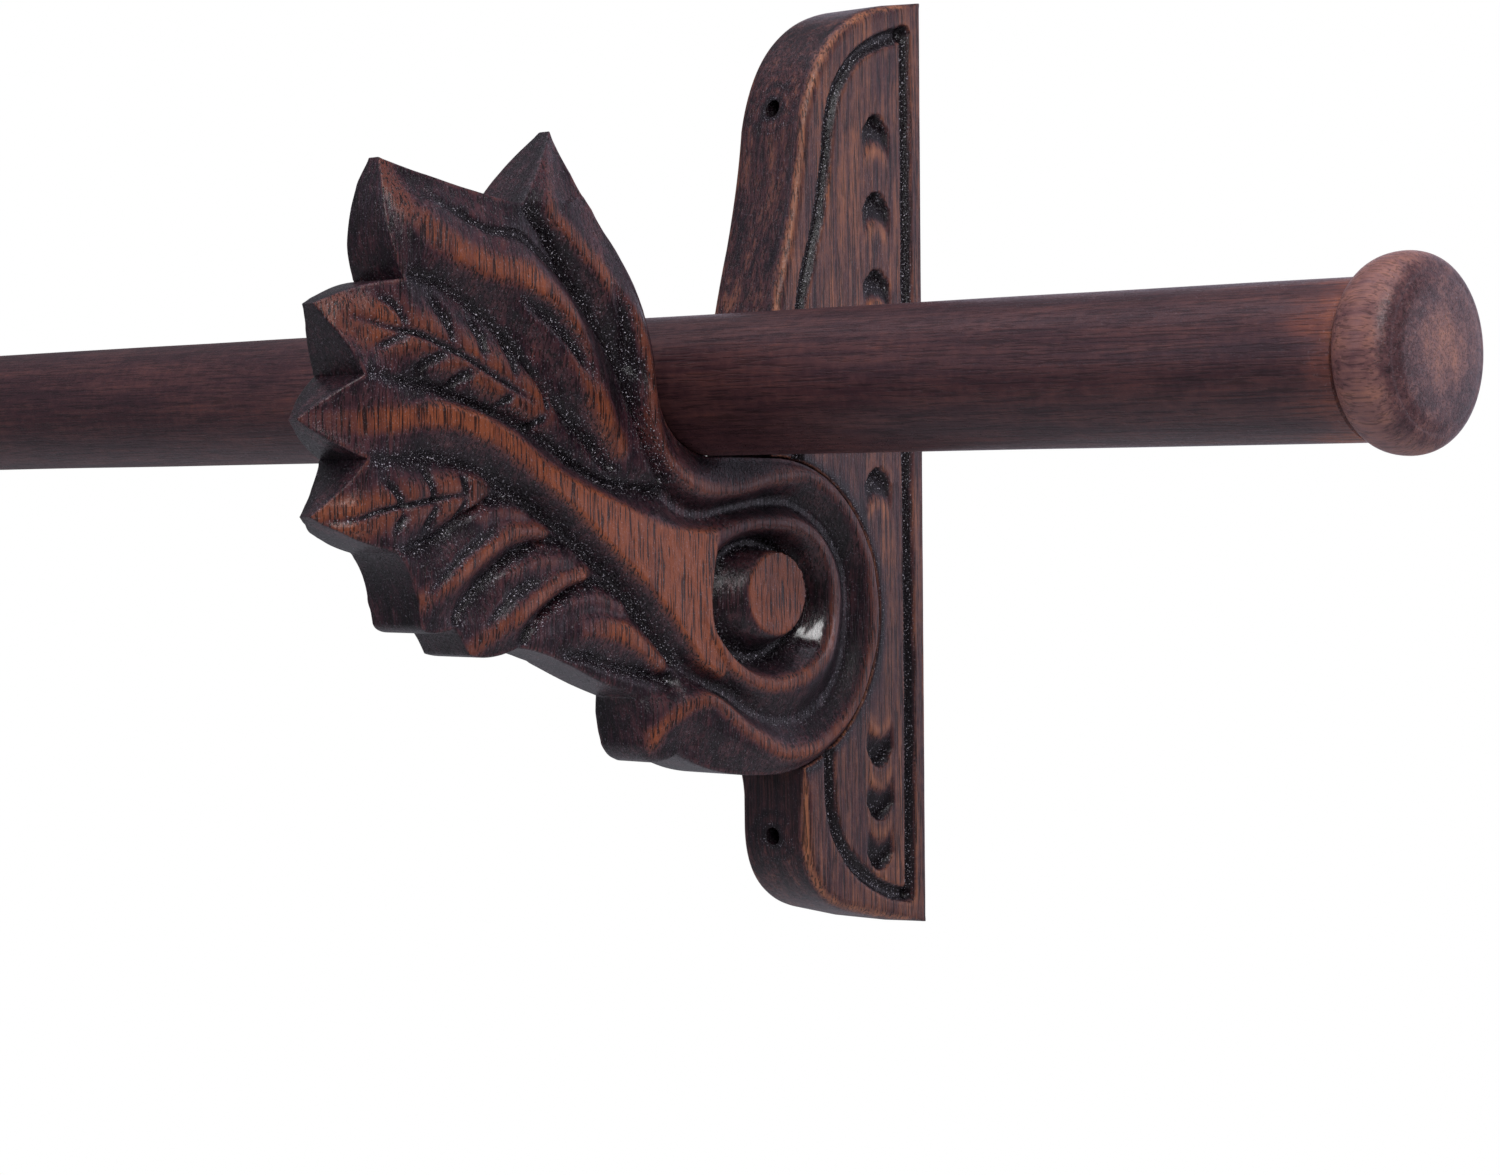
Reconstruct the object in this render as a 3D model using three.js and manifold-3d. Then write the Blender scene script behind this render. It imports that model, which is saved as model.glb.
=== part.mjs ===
// A curtain rod carried by two carved wooden brackets, with a turned cap on each end of the rod.
//
// Units are millimetres. X runs along the rod, +Y points into the wall, and Z is up.
// The origin lies on the wall, midway between the brackets, at half the height of the wall plates.
import * as THREE from "three";
import { mergeVertices } from "three/addons/utils/BufferGeometryUtils.js";
import Module from "manifold-3d";

const wasm = await Module();
wasm.setup();

// Driving dimensions
const ROD_DIAMETER = 35;
const ROD_LENGTH = 1220;
const ROD_FROM_WALL = 79.3;
const ROD_HEIGHT = 19.4;
const BRACKET_SPACING = 810;
const PLATE_HEIGHT = 242;
const PLATE_THICKNESS = 23;
const ARM_BLADE = 17; // thickness of the leaf between its ribs
const TIP_THICKNESS = 4; // thickness at the pointed leaf tips
const TIP_REACH = 20; // length over which a tip thins down
const ARM_RIB = 24; // thickness over the ribs of the leaf
const ARM_STEM = 27.5; // thickness over the stem
const ARM_FULL = 29.5; // thickness over the rim and the volute
const CAP_LENGTH = 15.9;
const CAP_RISE = 1; // the caps are fitted a little above the rod's centre
const CAP_DIAMETER = 42.8;
const CAP_SHOULDER = 4.6; // width of the rounded shoulder round the end of a cap
const CAP_DOME = 1.6; // how far the end of a cap bulges
const CAP_FACE = { radius: 9, fall: 0.3 }; // the flattest part of the bulge
const ROD_CHAMFER = 0.8;
const GAP = 0.3; // glue line or working clearance between neighbouring pieces
const BEYOND = 5; // how far a cutter passes the surface it cuts

const ROD_RADIUS = ROD_DIAMETER / 2;
const HALF_PLATE = PLATE_HEIGHT / 2;

// The volute at the root of the arm, as wall distance and height, with its inner ring and its eye.
// Each floor is the half thickness left under the trough or under the eye.
const VOLUTE = { y: -58, z: -38.5, radius: 40 };
const RING = { y: -61, z: -35, radius: 22.5, trough: 18.5, floor: 10 };
const EYE = { y: -60, z: -32.5, radius: 12, halfThickness: 13.55, floor: 8 };
const PLATE_FRONT = -58.5; // front edge of the wall plate beside the rod
const PLATE_LOWER_FRONT = -47; // front edge of the wall plate below the arm

// Fixings
const WALL_HOLE = { radius: 2.3, heights: [91, -95.5] };
const ARM_SCREW = {
  radius: 2.5, head: 5, headTop: 3.3, headEdge: 0.8, headHeight: 3.2, counterbore: 7,
  point: 8, tipRadius: 0.4, reach: 62,
};
const ARM_DOWEL = { radius: 4, offset: 22, from: -11, to: -45 };
const CAP_DOWEL = { radius: 4.7, inRod: 24, inCap: 12 };

// Border groove of the plate
const BORDER = { fromWall: 4.8, fromOutline: 8, width: 3, depth: 1.3 };

function material(color, roughness) {
  return new THREE.MeshStandardMaterial({ color, roughness, metalness: 0 });
}

const MATERIALS = {
  carving: material(0x7a4426, 0.38),
  plate: material(0x5c3a26, 0.42),
  rod: material(0x40262a, 0.35),
  cap: material(0x62403a, 0.4),
  dowel: material(0xc8a878, 0.7),
  steel: new THREE.MeshStandardMaterial({ color: 0xa8a8a4, roughness: 0.35, metalness: 1 }),
};

// Solids

function solidFrom(geometry) {
  const plain = geometry.index ? geometry.toNonIndexed() : geometry;
  plain.deleteAttribute("normal");
  plain.deleteAttribute("uv");
  const merged = mergeVertices(plain, 1e-3);
  return new wasm.Manifold(
    new wasm.Mesh({
      numProp: 3,
      vertProperties: merged.attributes.position.array,
      triVerts: new Uint32Array(merged.index.array),
    }),
  );
}

function geometryFrom(solid) {
  const data = solid.getMesh();
  const geometry = new THREE.BufferGeometry();
  geometry.setAttribute("position", new THREE.BufferAttribute(data.vertProperties, 3));
  geometry.setIndex(new THREE.BufferAttribute(data.triVerts, 1));
  geometry.computeVertexNormals();
  return geometry;
}

// Turns a drawing made in wall distance and height into a board that stands across X.
const ACROSS_X = new THREE.Matrix4().makeBasis(
  new THREE.Vector3(0, 1, 0),
  new THREE.Vector3(0, 0, 1),
  new THREE.Vector3(1, 0, 0),
);

function board(shape, fromX, toX, curveSegments = 6) {
  const geometry = new THREE.ExtrudeGeometry(shape, {
    depth: toX - fromX,
    bevelEnabled: false,
    curveSegments,
  });
  geometry.translate(0, 0, fromX);
  geometry.applyMatrix4(ACROSS_X);
  return solidFrom(geometry);
}

function centredBoard(shape, thickness, curveSegments) {
  return board(shape, -thickness / 2, thickness / 2, curveSegments);
}

// A board on one side of the middle plane only. Side is 1 or -1.
function sideBoard(shape, side, inner, outer, curveSegments) {
  return side > 0
    ? board(shape, inner, outer, curveSegments)
    : board(shape, -outer, -inner, curveSegments);
}

// A round bar or hole along Y.
function barAlongY(radius, fromY, toY, z, segments = 16) {
  const geometry = new THREE.CylinderGeometry(radius, radius, Math.abs(toY - fromY), segments);
  geometry.translate(0, (fromY + toY) / 2, z);
  return solidFrom(geometry);
}

// Turns a list of [radius, distance along X] into a solid of revolution about the X axis.
function turned(profile, segments) {
  const points = profile.map(([radius, along]) => new THREE.Vector2(radius, along));
  const geometry = new THREE.LatheGeometry(points, segments);
  geometry.rotateZ(-Math.PI / 2);
  return solidFrom(geometry);
}

// Outlines

function circle(y, z, radius) {
  const shape = new THREE.Shape();
  shape.absarc(y, z, radius, 0, Math.PI * 2, false);
  return shape;
}

// A strip that follows a smooth line and changes width evenly from one end to the other.
function strip(line, startWidth, endWidth, steps) {
  const curve = new THREE.SplineCurve(line.map(([y, z]) => new THREE.Vector2(y, z)));
  const left = [];
  const right = [];
  for (let i = 0; i <= steps; i += 1) {
    const t = i / steps;
    const point = curve.getPointAt(t);
    const along = curve.getTangentAt(t);
    const half = THREE.MathUtils.lerp(startWidth, endWidth, t) / 2;
    const side = new THREE.Vector2(-along.y, along.x).multiplyScalar(half);
    left.push(point.clone().add(side));
    right.unshift(point.clone().sub(side));
  }
  return new THREE.Shape([...left, ...right]);
}

// The wall plate in side view: straight on the wall, bowed towards the room.
// The insets draw the same outline further in, for the border groove. A point on a slope moves
// by a share of the inset in each direction, so that the groove keeps an even distance.
function plateOutline(wallInset = 0, inset = 0) {
  const front = PLATE_FRONT + inset;
  const lowerFront = PLATE_LOWER_FRONT + inset;
  const shape = new THREE.Shape();
  shape.moveTo(-wallInset, -HALF_PLATE + inset * 0.85);
  shape.lineTo(-wallInset, HALF_PLATE - inset * 0.85);
  shape.lineTo(-12 - inset * 0.3, 119.5 - inset);
  shape.quadraticCurveTo(-40 + inset * 0.8, 115 - inset, -46 + inset, 86);
  shape.quadraticCurveTo(-47.5 + inset, 72, -52 + inset, 55);
  shape.quadraticCurveTo(-55.5 + inset, 43.5, front, 30);
  shape.lineTo(front, -20);
  shape.lineTo(lowerFront, -60);
  shape.lineTo(lowerFront, -93 + inset * 0.6);
  shape.quadraticCurveTo(lowerFront, -111 + inset * 0.7, -30 + inset * 0.5, -115.7 + inset * 0.8);
  shape.lineTo(-13.5, -119.5 + inset);
  shape.closePath();
  return shape;
}

// The tips of the leaf: the curve out to a tip, then the curve back to the notch below it
const LEAF_TIPS = [
  { out: [-121, 63], tip: [-125, 79.5], back: [-132, 72], notch: [-140.5, 61], pointed: true },
  { out: [-160, 64], tip: [-178.5, 70], back: [-183.5, 54], notch: [-177.5, 42], pointed: true },
  { out: [-188, 41], tip: [-198.5, 36], back: [-193.5, 28.5], notch: [-189.5, 20], pointed: true },
  { out: [-197.5, 15.5], tip: [-203.2, 9.9], back: [-197, 4.5], notch: [-188.5, 1], pointed: true },
  { out: [-192, -5], tip: [-200, -12], back: [-192, -17.8], notch: [-180, -20.4], pointed: true },
  { out: [-174.8, -25], tip: [-173.3, -37], back: [-172, -40.5], notch: [-162.5, -38.3] },
  { out: [-160.5, -40], tip: [-158, -44.5], back: [-151, -46.5], notch: [-142, -43.5] },
  { out: [-133, -44.5], tip: [-122, -49.5], back: [-112, -54], notch: [-103, -57] },
  { out: [-102, -60.5], tip: [-101, -69], back: [-98, -76], notch: [-89.5, -71.8] },
];

// The arm in side view: the volute, the cradle under the rod, then one leaf tip after another.
// The cradle is a little wider than the rod and touches it only below.
function armOutline() {
  const cradle = ROD_RADIUS + GAP * 3;
  const floor = ROD_HEIGHT - ROD_RADIUS - GAP;
  const { y, z, radius } = VOLUTE;
  const shape = new THREE.Shape();
  shape.moveTo(y, z + radius);
  shape.lineTo(-ROD_FROM_WALL, floor);
  shape.absarc(-ROD_FROM_WALL, floor + cradle, cradle, -Math.PI / 2, -Math.PI, true);
  shape.quadraticCurveTo(-98.5, 40, -112, 54);
  for (const { out, tip, back, notch } of LEAF_TIPS) {
    shape.quadraticCurveTo(...out, ...tip);
    shape.quadraticCurveTo(...back, ...notch);
  }
  shape.quadraticCurveTo(-77, z - radius, y, z - radius);
  shape.absarc(y, z, radius, -Math.PI / 2, Math.PI / 2, false);
  return shape;
}

// Ribs of the leaf: a line from the tip towards the volute, and the width at each end
const LEAF_RIBS = [
  { line: [[-175, 58], [-165, 51], [-143, 43], [-124, 28], [-109, 5]], width: [5, 5] },
  { line: [[-188, 33], [-172, 30], [-150, 21], [-130, 8]], width: [6, 8] },
  { line: [[-190, -12], [-178, -10], [-160, -7], [-143, -15]], width: [6, 6] },
  { line: [[-169, -34], [-157, -24], [-145, -16], [-128, -17]], width: [6, 5] },
  { line: [[-152, -40], [-138, -32], [-121, -27], [-110, -29]], width: [6, 5] },
  { line: [[-128, -41], [-119, -40], [-107, -42], [-95, -49]], width: [6, 5] },
];

// The rim starts in the top leaf, passes under the rod and runs round the volute to the last leaf.
const RIM = [
  [-128, 60], [-120, 49], [-106, 33], [-100.5, 10], [-92, -3], [-78, -6.5], [-60, -3.5], [-46, -3],
  [-33, -10], [-23, -25], [-20.5, -39], [-25, -56], [-36, -69], [-50, -73], [-66, -68], [-80, -59],
  [-92, -61], [-99, -68],
];

const RIM_WIDTH = [5, 6];

// The stem: one broad rib from the foremost tip, opening into the inner ring of the volute
const STEM = [[-190, 9.5], [-173, 10.5], [-146, 3], [-120, -9.5], [-98, -25], [-84, -34]];
const STEM_WIDTH = [4, 31];

// The flat leaf, thinned towards its pointed tips
function bladeSolid() {
  const geometry = new THREE.ExtrudeGeometry(armOutline(), {
    depth: ARM_BLADE,
    bevelEnabled: false,
    curveSegments: 5,
  });
  geometry.translate(0, 0, -ARM_BLADE / 2);
  const position = geometry.getAttribute("position");
  for (let i = 0; i < position.count; i += 1) {
    let nearest = Infinity;
    for (const { tip, pointed } of LEAF_TIPS) {
      const away = Math.hypot(position.getX(i) - tip[0], position.getY(i) - tip[1]);
      if (pointed) nearest = Math.min(nearest, away);
    }
    const full = THREE.MathUtils.smoothstep(nearest, 0, TIP_REACH);
    const thickness = THREE.MathUtils.lerp(TIP_THICKNESS, ARM_BLADE, full);
    position.setZ(i, (position.getZ(i) * thickness) / ARM_BLADE);
  }
  geometry.applyMatrix4(ACROSS_X);
  return solidFrom(geometry);
}

function armSolid() {
  let solid = bladeSolid();
  for (const { line, width } of LEAF_RIBS) {
    const rib = centredBoard(strip(line, ...width, 6), ARM_RIB);
    solid = solid.add(rib);
  }
  solid = solid.add(centredBoard(strip(RIM, ...RIM_WIDTH, 30), ARM_FULL));
  solid = solid.add(centredBoard(strip(STEM, ...STEM_WIDTH, 8), ARM_STEM));
  solid = solid.add(centredBoard(circle(RING.y, RING.z, RING.radius), ARM_FULL, 10));
  for (const side of [-1, 1]) {
    const trough = sideBoard(circle(RING.y, RING.z, RING.trough), side, RING.floor, ARM_FULL, 8);
    const eye = sideBoard(circle(EYE.y, EYE.z, EYE.radius), side, EYE.floor, EYE.halfThickness, 6);
    solid = solid.subtract(trough).add(eye);
  }
  solid = solid.intersect(centredBoard(armOutline(), ARM_FULL + BEYOND, 5));
  const screwHole = barAlongY(ARM_SCREW.radius + GAP, 0, -ARM_SCREW.reach - GAP, VOLUTE.z);
  solid = solid.subtract(screwHole);
  for (const side of [-1, 1]) {
    const height = VOLUTE.z + side * ARM_DOWEL.offset;
    const bore = barAlongY(ARM_DOWEL.radius + GAP, 0, ARM_DOWEL.to - GAP, height);
    solid = solid.subtract(bore);
  }
  return solid;
}

// Short gouge cuts down the middle of the plate, arched upwards above the arm and downwards below it.
// Each height is the crown of one arch.
const GOUGE = { y: -18, halfWidth: 5, length: 8.5, arch: 3.6, depth: 1.8 };
const GOUGE_CROWNS = [90.5, 70.5, 50.5, -1, -79, -93, -106];

function gougeShape(crown) {
  const { y, halfWidth, length, arch } = GOUGE;
  const inward = crown > VOLUTE.z ? -1 : 1;
  const shoulder = crown + inward * arch;
  const foot = crown + inward * length;
  const shape = new THREE.Shape();
  shape.moveTo(y - halfWidth, shoulder);
  shape.quadraticCurveTo(y, crown - inward * arch, y + halfWidth, shoulder);
  shape.lineTo(y + halfWidth, foot);
  shape.quadraticCurveTo(y, foot - inward * arch, y - halfWidth, foot);
  return shape;
}

function plateSolid() {
  const { y, z, radius } = VOLUTE;
  const half = PLATE_THICKNESS / 2;
  const { fromWall, fromOutline, width, depth } = BORDER;
  const groove = plateOutline(fromWall, fromOutline);
  groove.holes.push(plateOutline(fromWall + width, fromOutline + width));
  let solid = centredBoard(plateOutline(), PLATE_THICKNESS, 6);
  for (const side of [-1, 1]) {
    solid = solid.subtract(sideBoard(groove, side, half - depth, half + BEYOND, 5));
    for (const crown of GOUGE_CROWNS) {
      const cut = sideBoard(gougeShape(crown), side, half - GOUGE.depth, half + BEYOND, 3);
      solid = solid.subtract(cut);
    }
  }
  solid = solid.subtract(centredBoard(circle(y, z, radius + GAP), PLATE_THICKNESS + BEYOND, 16));
  for (const height of WALL_HOLE.heights) {
    solid = solid.subtract(barAlongY(WALL_HOLE.radius, PLATE_FRONT - BEYOND, BEYOND, height, 12));
  }
  solid = solid.subtract(barAlongY(ARM_SCREW.radius + GAP, y, BEYOND, z));
  solid = solid.subtract(barAlongY(ARM_SCREW.head + GAP, -ARM_SCREW.counterbore, BEYOND, z));
  for (const side of [-1, 1]) {
    const height = z + side * ARM_DOWEL.offset;
    const bore = barAlongY(ARM_DOWEL.radius + GAP, ARM_DOWEL.to, ARM_DOWEL.from + GAP, height);
    solid = solid.subtract(bore);
  }
  return solid;
}

// A countersunk wood screw with its head towards the wall and its point in the arm
function armScrewSolid() {
  const { radius, head, headTop, headEdge, headHeight, point, tipRadius, reach } = ARM_SCREW;
  const profile = [
    [0, -headTop], [head, -headTop], [head, -headTop - headEdge], [radius, -headTop - headHeight],
    [radius, point - reach], [tipRadius, -reach], [0, -reach],
  ];
  const points = profile.map(([r, y]) => new THREE.Vector2(r, y)).reverse();
  const geometry = new THREE.LatheGeometry(points, 16);
  geometry.translate(0, 0, VOLUTE.z);
  return solidFrom(geometry);
}

// The rod, with a blind bore in each end for the dowel of its cap
function rodSolid() {
  const end = ROD_LENGTH / 2;
  const bore = CAP_DOWEL.radius + GAP;
  const depth = end - CAP_DOWEL.inRod - GAP;
  return turned(
    [
      [0, -depth], [bore, -depth], [bore, -end], [ROD_RADIUS - ROD_CHAMFER, -end],
      [ROD_RADIUS, -end + ROD_CHAMFER], [ROD_RADIUS, end - ROD_CHAMFER],
      [ROD_RADIUS - ROD_CHAMFER, end], [bore, end], [bore, depth], [0, depth],
    ],
    32,
  );
}

// A turned cap: it swells from the rod's own size, then rounds over to a nearly flat end.
function capSolid() {
  const widest = CAP_DIAMETER / 2;
  const swell = CAP_LENGTH / 2 - GAP;
  const rounding = CAP_LENGTH / 2 - CAP_DOME;
  const steps = 4;
  const profile = [[0, GAP], [ROD_RADIUS, GAP]];
  for (let i = 1; i <= steps; i += 1) {
    const turn = (i / steps) * (Math.PI / 2);
    const out = (widest - ROD_RADIUS) * Math.sin(turn);
    profile.push([ROD_RADIUS + out, GAP + swell * (1 - Math.cos(turn))]);
  }
  for (let i = 1; i <= steps; i += 1) {
    const turn = (i / steps) * (Math.PI / 2);
    const inward = CAP_SHOULDER * (1 - Math.cos(turn));
    profile.push([widest - inward, GAP + swell + rounding * Math.sin(turn)]);
  }
  profile.push([CAP_FACE.radius, CAP_LENGTH - CAP_FACE.fall], [0, CAP_LENGTH]);
  const outside = turned(profile, 28).translate([0, 0, CAP_RISE]);
  const depth = CAP_DOWEL.inCap + GAP;
  const radius = CAP_DOWEL.radius + GAP;
  const bore = turned([[0, -BEYOND], [radius, -BEYOND], [radius, depth], [0, depth]], 16);
  return outside.subtract(bore);
}

// Assembly

function add(group, name, solid, look) {
  const mesh = new THREE.Mesh(geometryFrom(solid), look);
  mesh.name = name;
  group.add(mesh);
  return mesh;
}

const assembly = new THREE.Group();

const plate = plateSolid();
const arm = armSolid();
const armScrew = armScrewSolid();
const armDowel = barAlongY(ARM_DOWEL.radius, ARM_DOWEL.from, ARM_DOWEL.to, VOLUTE.z);

for (const [side, direction] of [["left", -1], ["right", 1]]) {
  const bracket = new THREE.Group();
  bracket.position.x = (direction * BRACKET_SPACING) / 2;
  assembly.add(bracket);
  add(bracket, `${side}_wall_plate`, plate, MATERIALS.plate);
  add(bracket, `${side}_carved_arm`, arm, MATERIALS.carving);
  add(bracket, `${side}_arm_screw`, armScrew, MATERIALS.steel);
  for (const [level, sign] of [["upper", 1], ["lower", -1]]) {
    const dowel = add(bracket, `${side}_${level}_arm_dowel`, armDowel, MATERIALS.dowel);
    dowel.position.z = sign * ARM_DOWEL.offset;
  }
}

const rod = new THREE.Group();
rod.position.set(0, -ROD_FROM_WALL, ROD_HEIGHT);
assembly.add(rod);
add(rod, "rod", rodSolid(), MATERIALS.rod);

const cap = capSolid();
const capDowel = turned(
  [
    [0, -CAP_DOWEL.inRod], [CAP_DOWEL.radius, -CAP_DOWEL.inRod],
    [CAP_DOWEL.radius, CAP_DOWEL.inCap], [0, CAP_DOWEL.inCap],
  ],
  20,
);
for (const [side, direction] of [["left", -1], ["right", 1]]) {
  const end = new THREE.Group();
  end.position.x = (direction * ROD_LENGTH) / 2;
  end.rotation.z = direction < 0 ? Math.PI : 0;
  rod.add(end);
  add(end, `${side}_cap`, cap, MATERIALS.cap);
  add(end, `${side}_cap_dowel`, capDowel, MATERIALS.dowel);
}

export default assembly;
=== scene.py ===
"""Looks of a wooden curtain rod on two carved brackets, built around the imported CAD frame.

Drawings are in millimetres, as wall distance y (negative towards the room) and height z.
Blender objects are in metres, in the same frame as the CAD.
"""

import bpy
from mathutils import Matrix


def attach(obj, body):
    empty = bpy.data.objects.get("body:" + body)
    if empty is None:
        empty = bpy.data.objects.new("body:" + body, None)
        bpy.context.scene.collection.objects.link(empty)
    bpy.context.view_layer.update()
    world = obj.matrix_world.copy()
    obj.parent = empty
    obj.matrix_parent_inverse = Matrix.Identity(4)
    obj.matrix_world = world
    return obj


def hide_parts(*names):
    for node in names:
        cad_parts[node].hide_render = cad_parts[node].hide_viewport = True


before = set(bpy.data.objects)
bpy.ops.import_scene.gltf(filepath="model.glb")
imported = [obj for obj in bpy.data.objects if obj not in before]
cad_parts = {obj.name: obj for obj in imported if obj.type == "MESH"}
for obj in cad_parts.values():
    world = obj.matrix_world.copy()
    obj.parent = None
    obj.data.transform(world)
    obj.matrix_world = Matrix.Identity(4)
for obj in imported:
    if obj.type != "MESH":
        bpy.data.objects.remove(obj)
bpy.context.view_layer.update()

import math

import bpy
import numpy as np
from mathutils import Matrix, Vector, noise
from mathutils.geometry import delaunay_2d_cdt

MM = 0.001

# Sizes shared with the CAD source
ROD_RADIUS = 17.5
ROD_LENGTH = 1220
ROD_FROM_WALL = 79.3
ROD_HEIGHT = 19.4
BRACKETS = (("left", -405), ("right", 405))  # places along X
HALF_PLATE = 121
HALF_PLATE_THICKNESS = 11.5
PLATE_FRONT = -58.5
PLATE_LOWER_FRONT = -47
CAP_LENGTH = 15.9
CAP_RISE = 1
CAP_RADIUS = 21.4
GAP = 0.3
CRADLE_CLEARANCE = 0.06
VOLUTE = (-58, -38.5)
VOLUTE_RADIUS = 40
WALL_HOLE_RADIUS = 2.3
WALL_HOLE_HEIGHTS = (91, -95.5)
SCREW_RADIUS = 2.5
SCREW_HEAD = 5
SCREW_RECESS = 7
SCREW_HEAD_HEIGHT = 3.4
SCREW_REACH = 62
ARM_DOWEL_RADIUS = 4
ARM_DOWEL_OFFSET = 22
ARM_DOWEL_SPAN = (-45, -11)
CAP_DOWEL_RADIUS = 4.7
CAP_DOWEL_IN_ROD = 24
CAP_DOWEL_IN_CAP = 12

# How finely the carved surfaces are meshed
COARSER = 1
ARM_SPACING = 0.66 * COARSER
PLATE_SPACING = 0.75 * COARSER
ARM_SHARP = 62
PLATE_SHARP = 50


# Lines


def spline(points, spacing=1.2):
    """A smooth line through the points, sampled evenly enough for measuring distances."""
    p = np.array(points, float)
    ends = np.vstack([2 * p[0] - p[1], p, 2 * p[-1] - p[-2]])
    out = [p[0]]
    for a, b, c, d in zip(ends[:-3], ends[1:-2], ends[2:-1], ends[3:]):
        steps = max(1, round(np.linalg.norm(c - b) / spacing))
        for i in range(1, steps + 1):
            t = i / steps
            bend = (2 * b) + (c - a) * t
            bend = bend + (2 * a - 5 * b + 4 * c - d) * t**2
            out.append((bend + (3 * b - a - 3 * c + d) * t**3) / 2)
    return np.array(out)


def ellipse(centre, radii, steps=60):
    turn = np.linspace(0, 2 * math.pi, steps + 1)
    return np.stack([centre[0] + radii[0] * np.cos(turn), centre[1] + radii[1] * np.sin(turn)], 1)


class Outline:
    """A closed line, built stretch by stretch, that carries one value along with each point."""

    def __init__(self, start, value, spacing):
        self.points = [(*start, value)]
        self.spacing = spacing

    def follow(self, curve, length, values):
        steps = max(2, round(length / self.spacing))
        knots = np.linspace(0, 1, len(values))
        for i in range(1, steps + 1):
            t = i / steps
            self.points.append((*curve(t), float(np.interp(t, knots, values))))

    def line(self, to, values):
        a, b = np.array(self.points[-1][:2]), np.array(to, float)
        self.follow(lambda t: a + (b - a) * t, np.linalg.norm(b - a), values)

    def bend(self, control, to, values):
        a, b, c = np.array(self.points[-1][:2]), np.array(control, float), np.array(to, float)
        length = np.linalg.norm(b - a) + np.linalg.norm(c - b)
        self.follow(lambda t: a * (1 - t) ** 2 + 2 * b * t * (1 - t) + c * t**2, length * 0.93, values)

    def arc(self, centre, radius, start, end, values):
        def curve(t):
            turn = math.radians(start + (end - start) * t)
            return centre[0] + radius * math.cos(turn), centre[1] + radius * math.sin(turn)

        self.follow(curve, radius * abs(math.radians(end - start)), values)

    def closed(self):
        found = np.array(self.points)
        if np.linalg.norm(found[0, :2] - found[-1, :2]) < self.spacing * 0.3:
            found = found[:-1]
        return found[:, :2], found[:, 2]


def nearest(points, line, values=None, reach=None, batch=8000):
    """Distance from each point to a line, and the line's value there.

    Beyond its reach a line counts as far away.
    """
    line = line.astype(np.float32)
    start = line[:-1]
    along = line[1:] - start
    size = np.maximum((along**2).sum(1), 1e-9)
    far, value = np.full(len(points), 999.0), np.zeros(len(points))
    chosen = np.arange(len(points))
    if reach:
        chosen = np.flatnonzero(((points > line.min(0) - reach) & (points < line.max(0) + reach)).all(1))
    for i in range(0, len(chosen), batch):
        rows = chosen[i : i + batch]
        dy = points[rows, 0, None].astype(np.float32) - start[:, 0]
        dz = points[rows, 1, None].astype(np.float32) - start[:, 1]
        t = np.clip((dy * along[:, 0] + dz * along[:, 1]) / size, 0, 1)
        square = (dy - t * along[:, 0]) ** 2 + (dz - t * along[:, 1]) ** 2
        k = square.argmin(1)
        at = np.arange(len(k))
        far[rows] = np.sqrt(square[at, k])
        if values is not None:
            u = t[at, k]
            value[rows] = values[k] * (1 - u) + values[k + 1] * u
    return far, value


def inside(points, loop, batch=6000):
    """Whether each point lies inside a closed loop."""
    a, b = loop, np.roll(loop, -1, axis=0)
    found = np.zeros(len(points), bool)
    for i in range(0, len(points), batch):
        p = points[i : i + batch, None, :]
        spans = (a[:, 1] > p[..., 1]) != (b[:, 1] > p[..., 1])
        rise = np.where(b[:, 1] == a[:, 1], 1e-9, b[:, 1] - a[:, 1])
        cross = (b[:, 0] - a[:, 0]) * (p[..., 1] - a[:, 1]) / rise + a[:, 0]
        found[i : i + batch] = (spans & (p[..., 0] < cross)).sum(1) % 2 == 1
    return found


def smooth(x, low, high):
    t = np.clip((x - low) / (high - low), 0, 1)
    return t * t * (3 - 2 * t)


def bell(distance, width):
    """1 at no distance, falling to nothing within about twice the width."""
    return np.exp(-((distance / width) ** 2))


def ripple(points, size, seed):
    """Gentle unevenness, from -1 to 1, with the given size in millimetres."""
    return np.array([noise.noise(Vector((p[0] / size, p[1] / size, seed))) for p in points])


def heights_along(line, profile):
    """Values along a line, from (share of its length, value) pairs."""
    gone = np.concatenate([[0], np.cumsum(np.linalg.norm(np.diff(line, axis=0), axis=1))])
    return np.interp(gone / gone[-1], [p[0] for p in profile], [p[1] for p in profile])


# The arm in side view


LEAF_TIPS = [
    # curve out, tip, curve back, notch, then half thickness along the way out and along the way back
    ((-121, 63), (-125, 79.5), (-132, 72), (-140.5, 61), (8.5, 8.5, 6, 1.8), (1.8, 5, 7.5, 8.5)),
    ((-160, 64), (-178.5, 70), (-183.5, 54), (-177.5, 42), (8.5, 7, 5, 2), (2, 5.5, 8, 9)),
    ((-188, 41), (-198.5, 36), (-193.5, 28.5), (-189.5, 20), (9, 6.5, 4, 2), (2, 5.5, 8, 9.3)),
    ((-197.5, 15.5), (-203.2, 9.9), (-197, 4.5), (-188.5, 1), (9.3, 6, 1.6), (1.6, 4.5, 7, 8.8)),
    ((-192, -5), (-200, -12), (-192, -17.8), (-180, -20.4), (8.8, 6, 2), (2, 4.5, 7.5, 8.8)),
    ((-174.8, -25), (-173.3, -37), (-172, -40.5), (-162.5, -38.3), (8.8, 8.8, 8.6), (8.6, 8.4, 8.2)),
    ((-160.5, -40), (-158, -44.5), (-151, -46.5), (-142, -43.5), (8.2, 8), (8, 7.6, 7.4)),
    ((-133, -44.5), (-122, -49.5), (-112, -54), (-103, -57), (7.4, 7), (7, 7.4)),
    ((-102, -60.5), (-101, -69), (-98, -76), (-89.5, -71.8), (7.4, 9, 8.4), (8.4, 8, 7.6, 8)),
]


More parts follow.
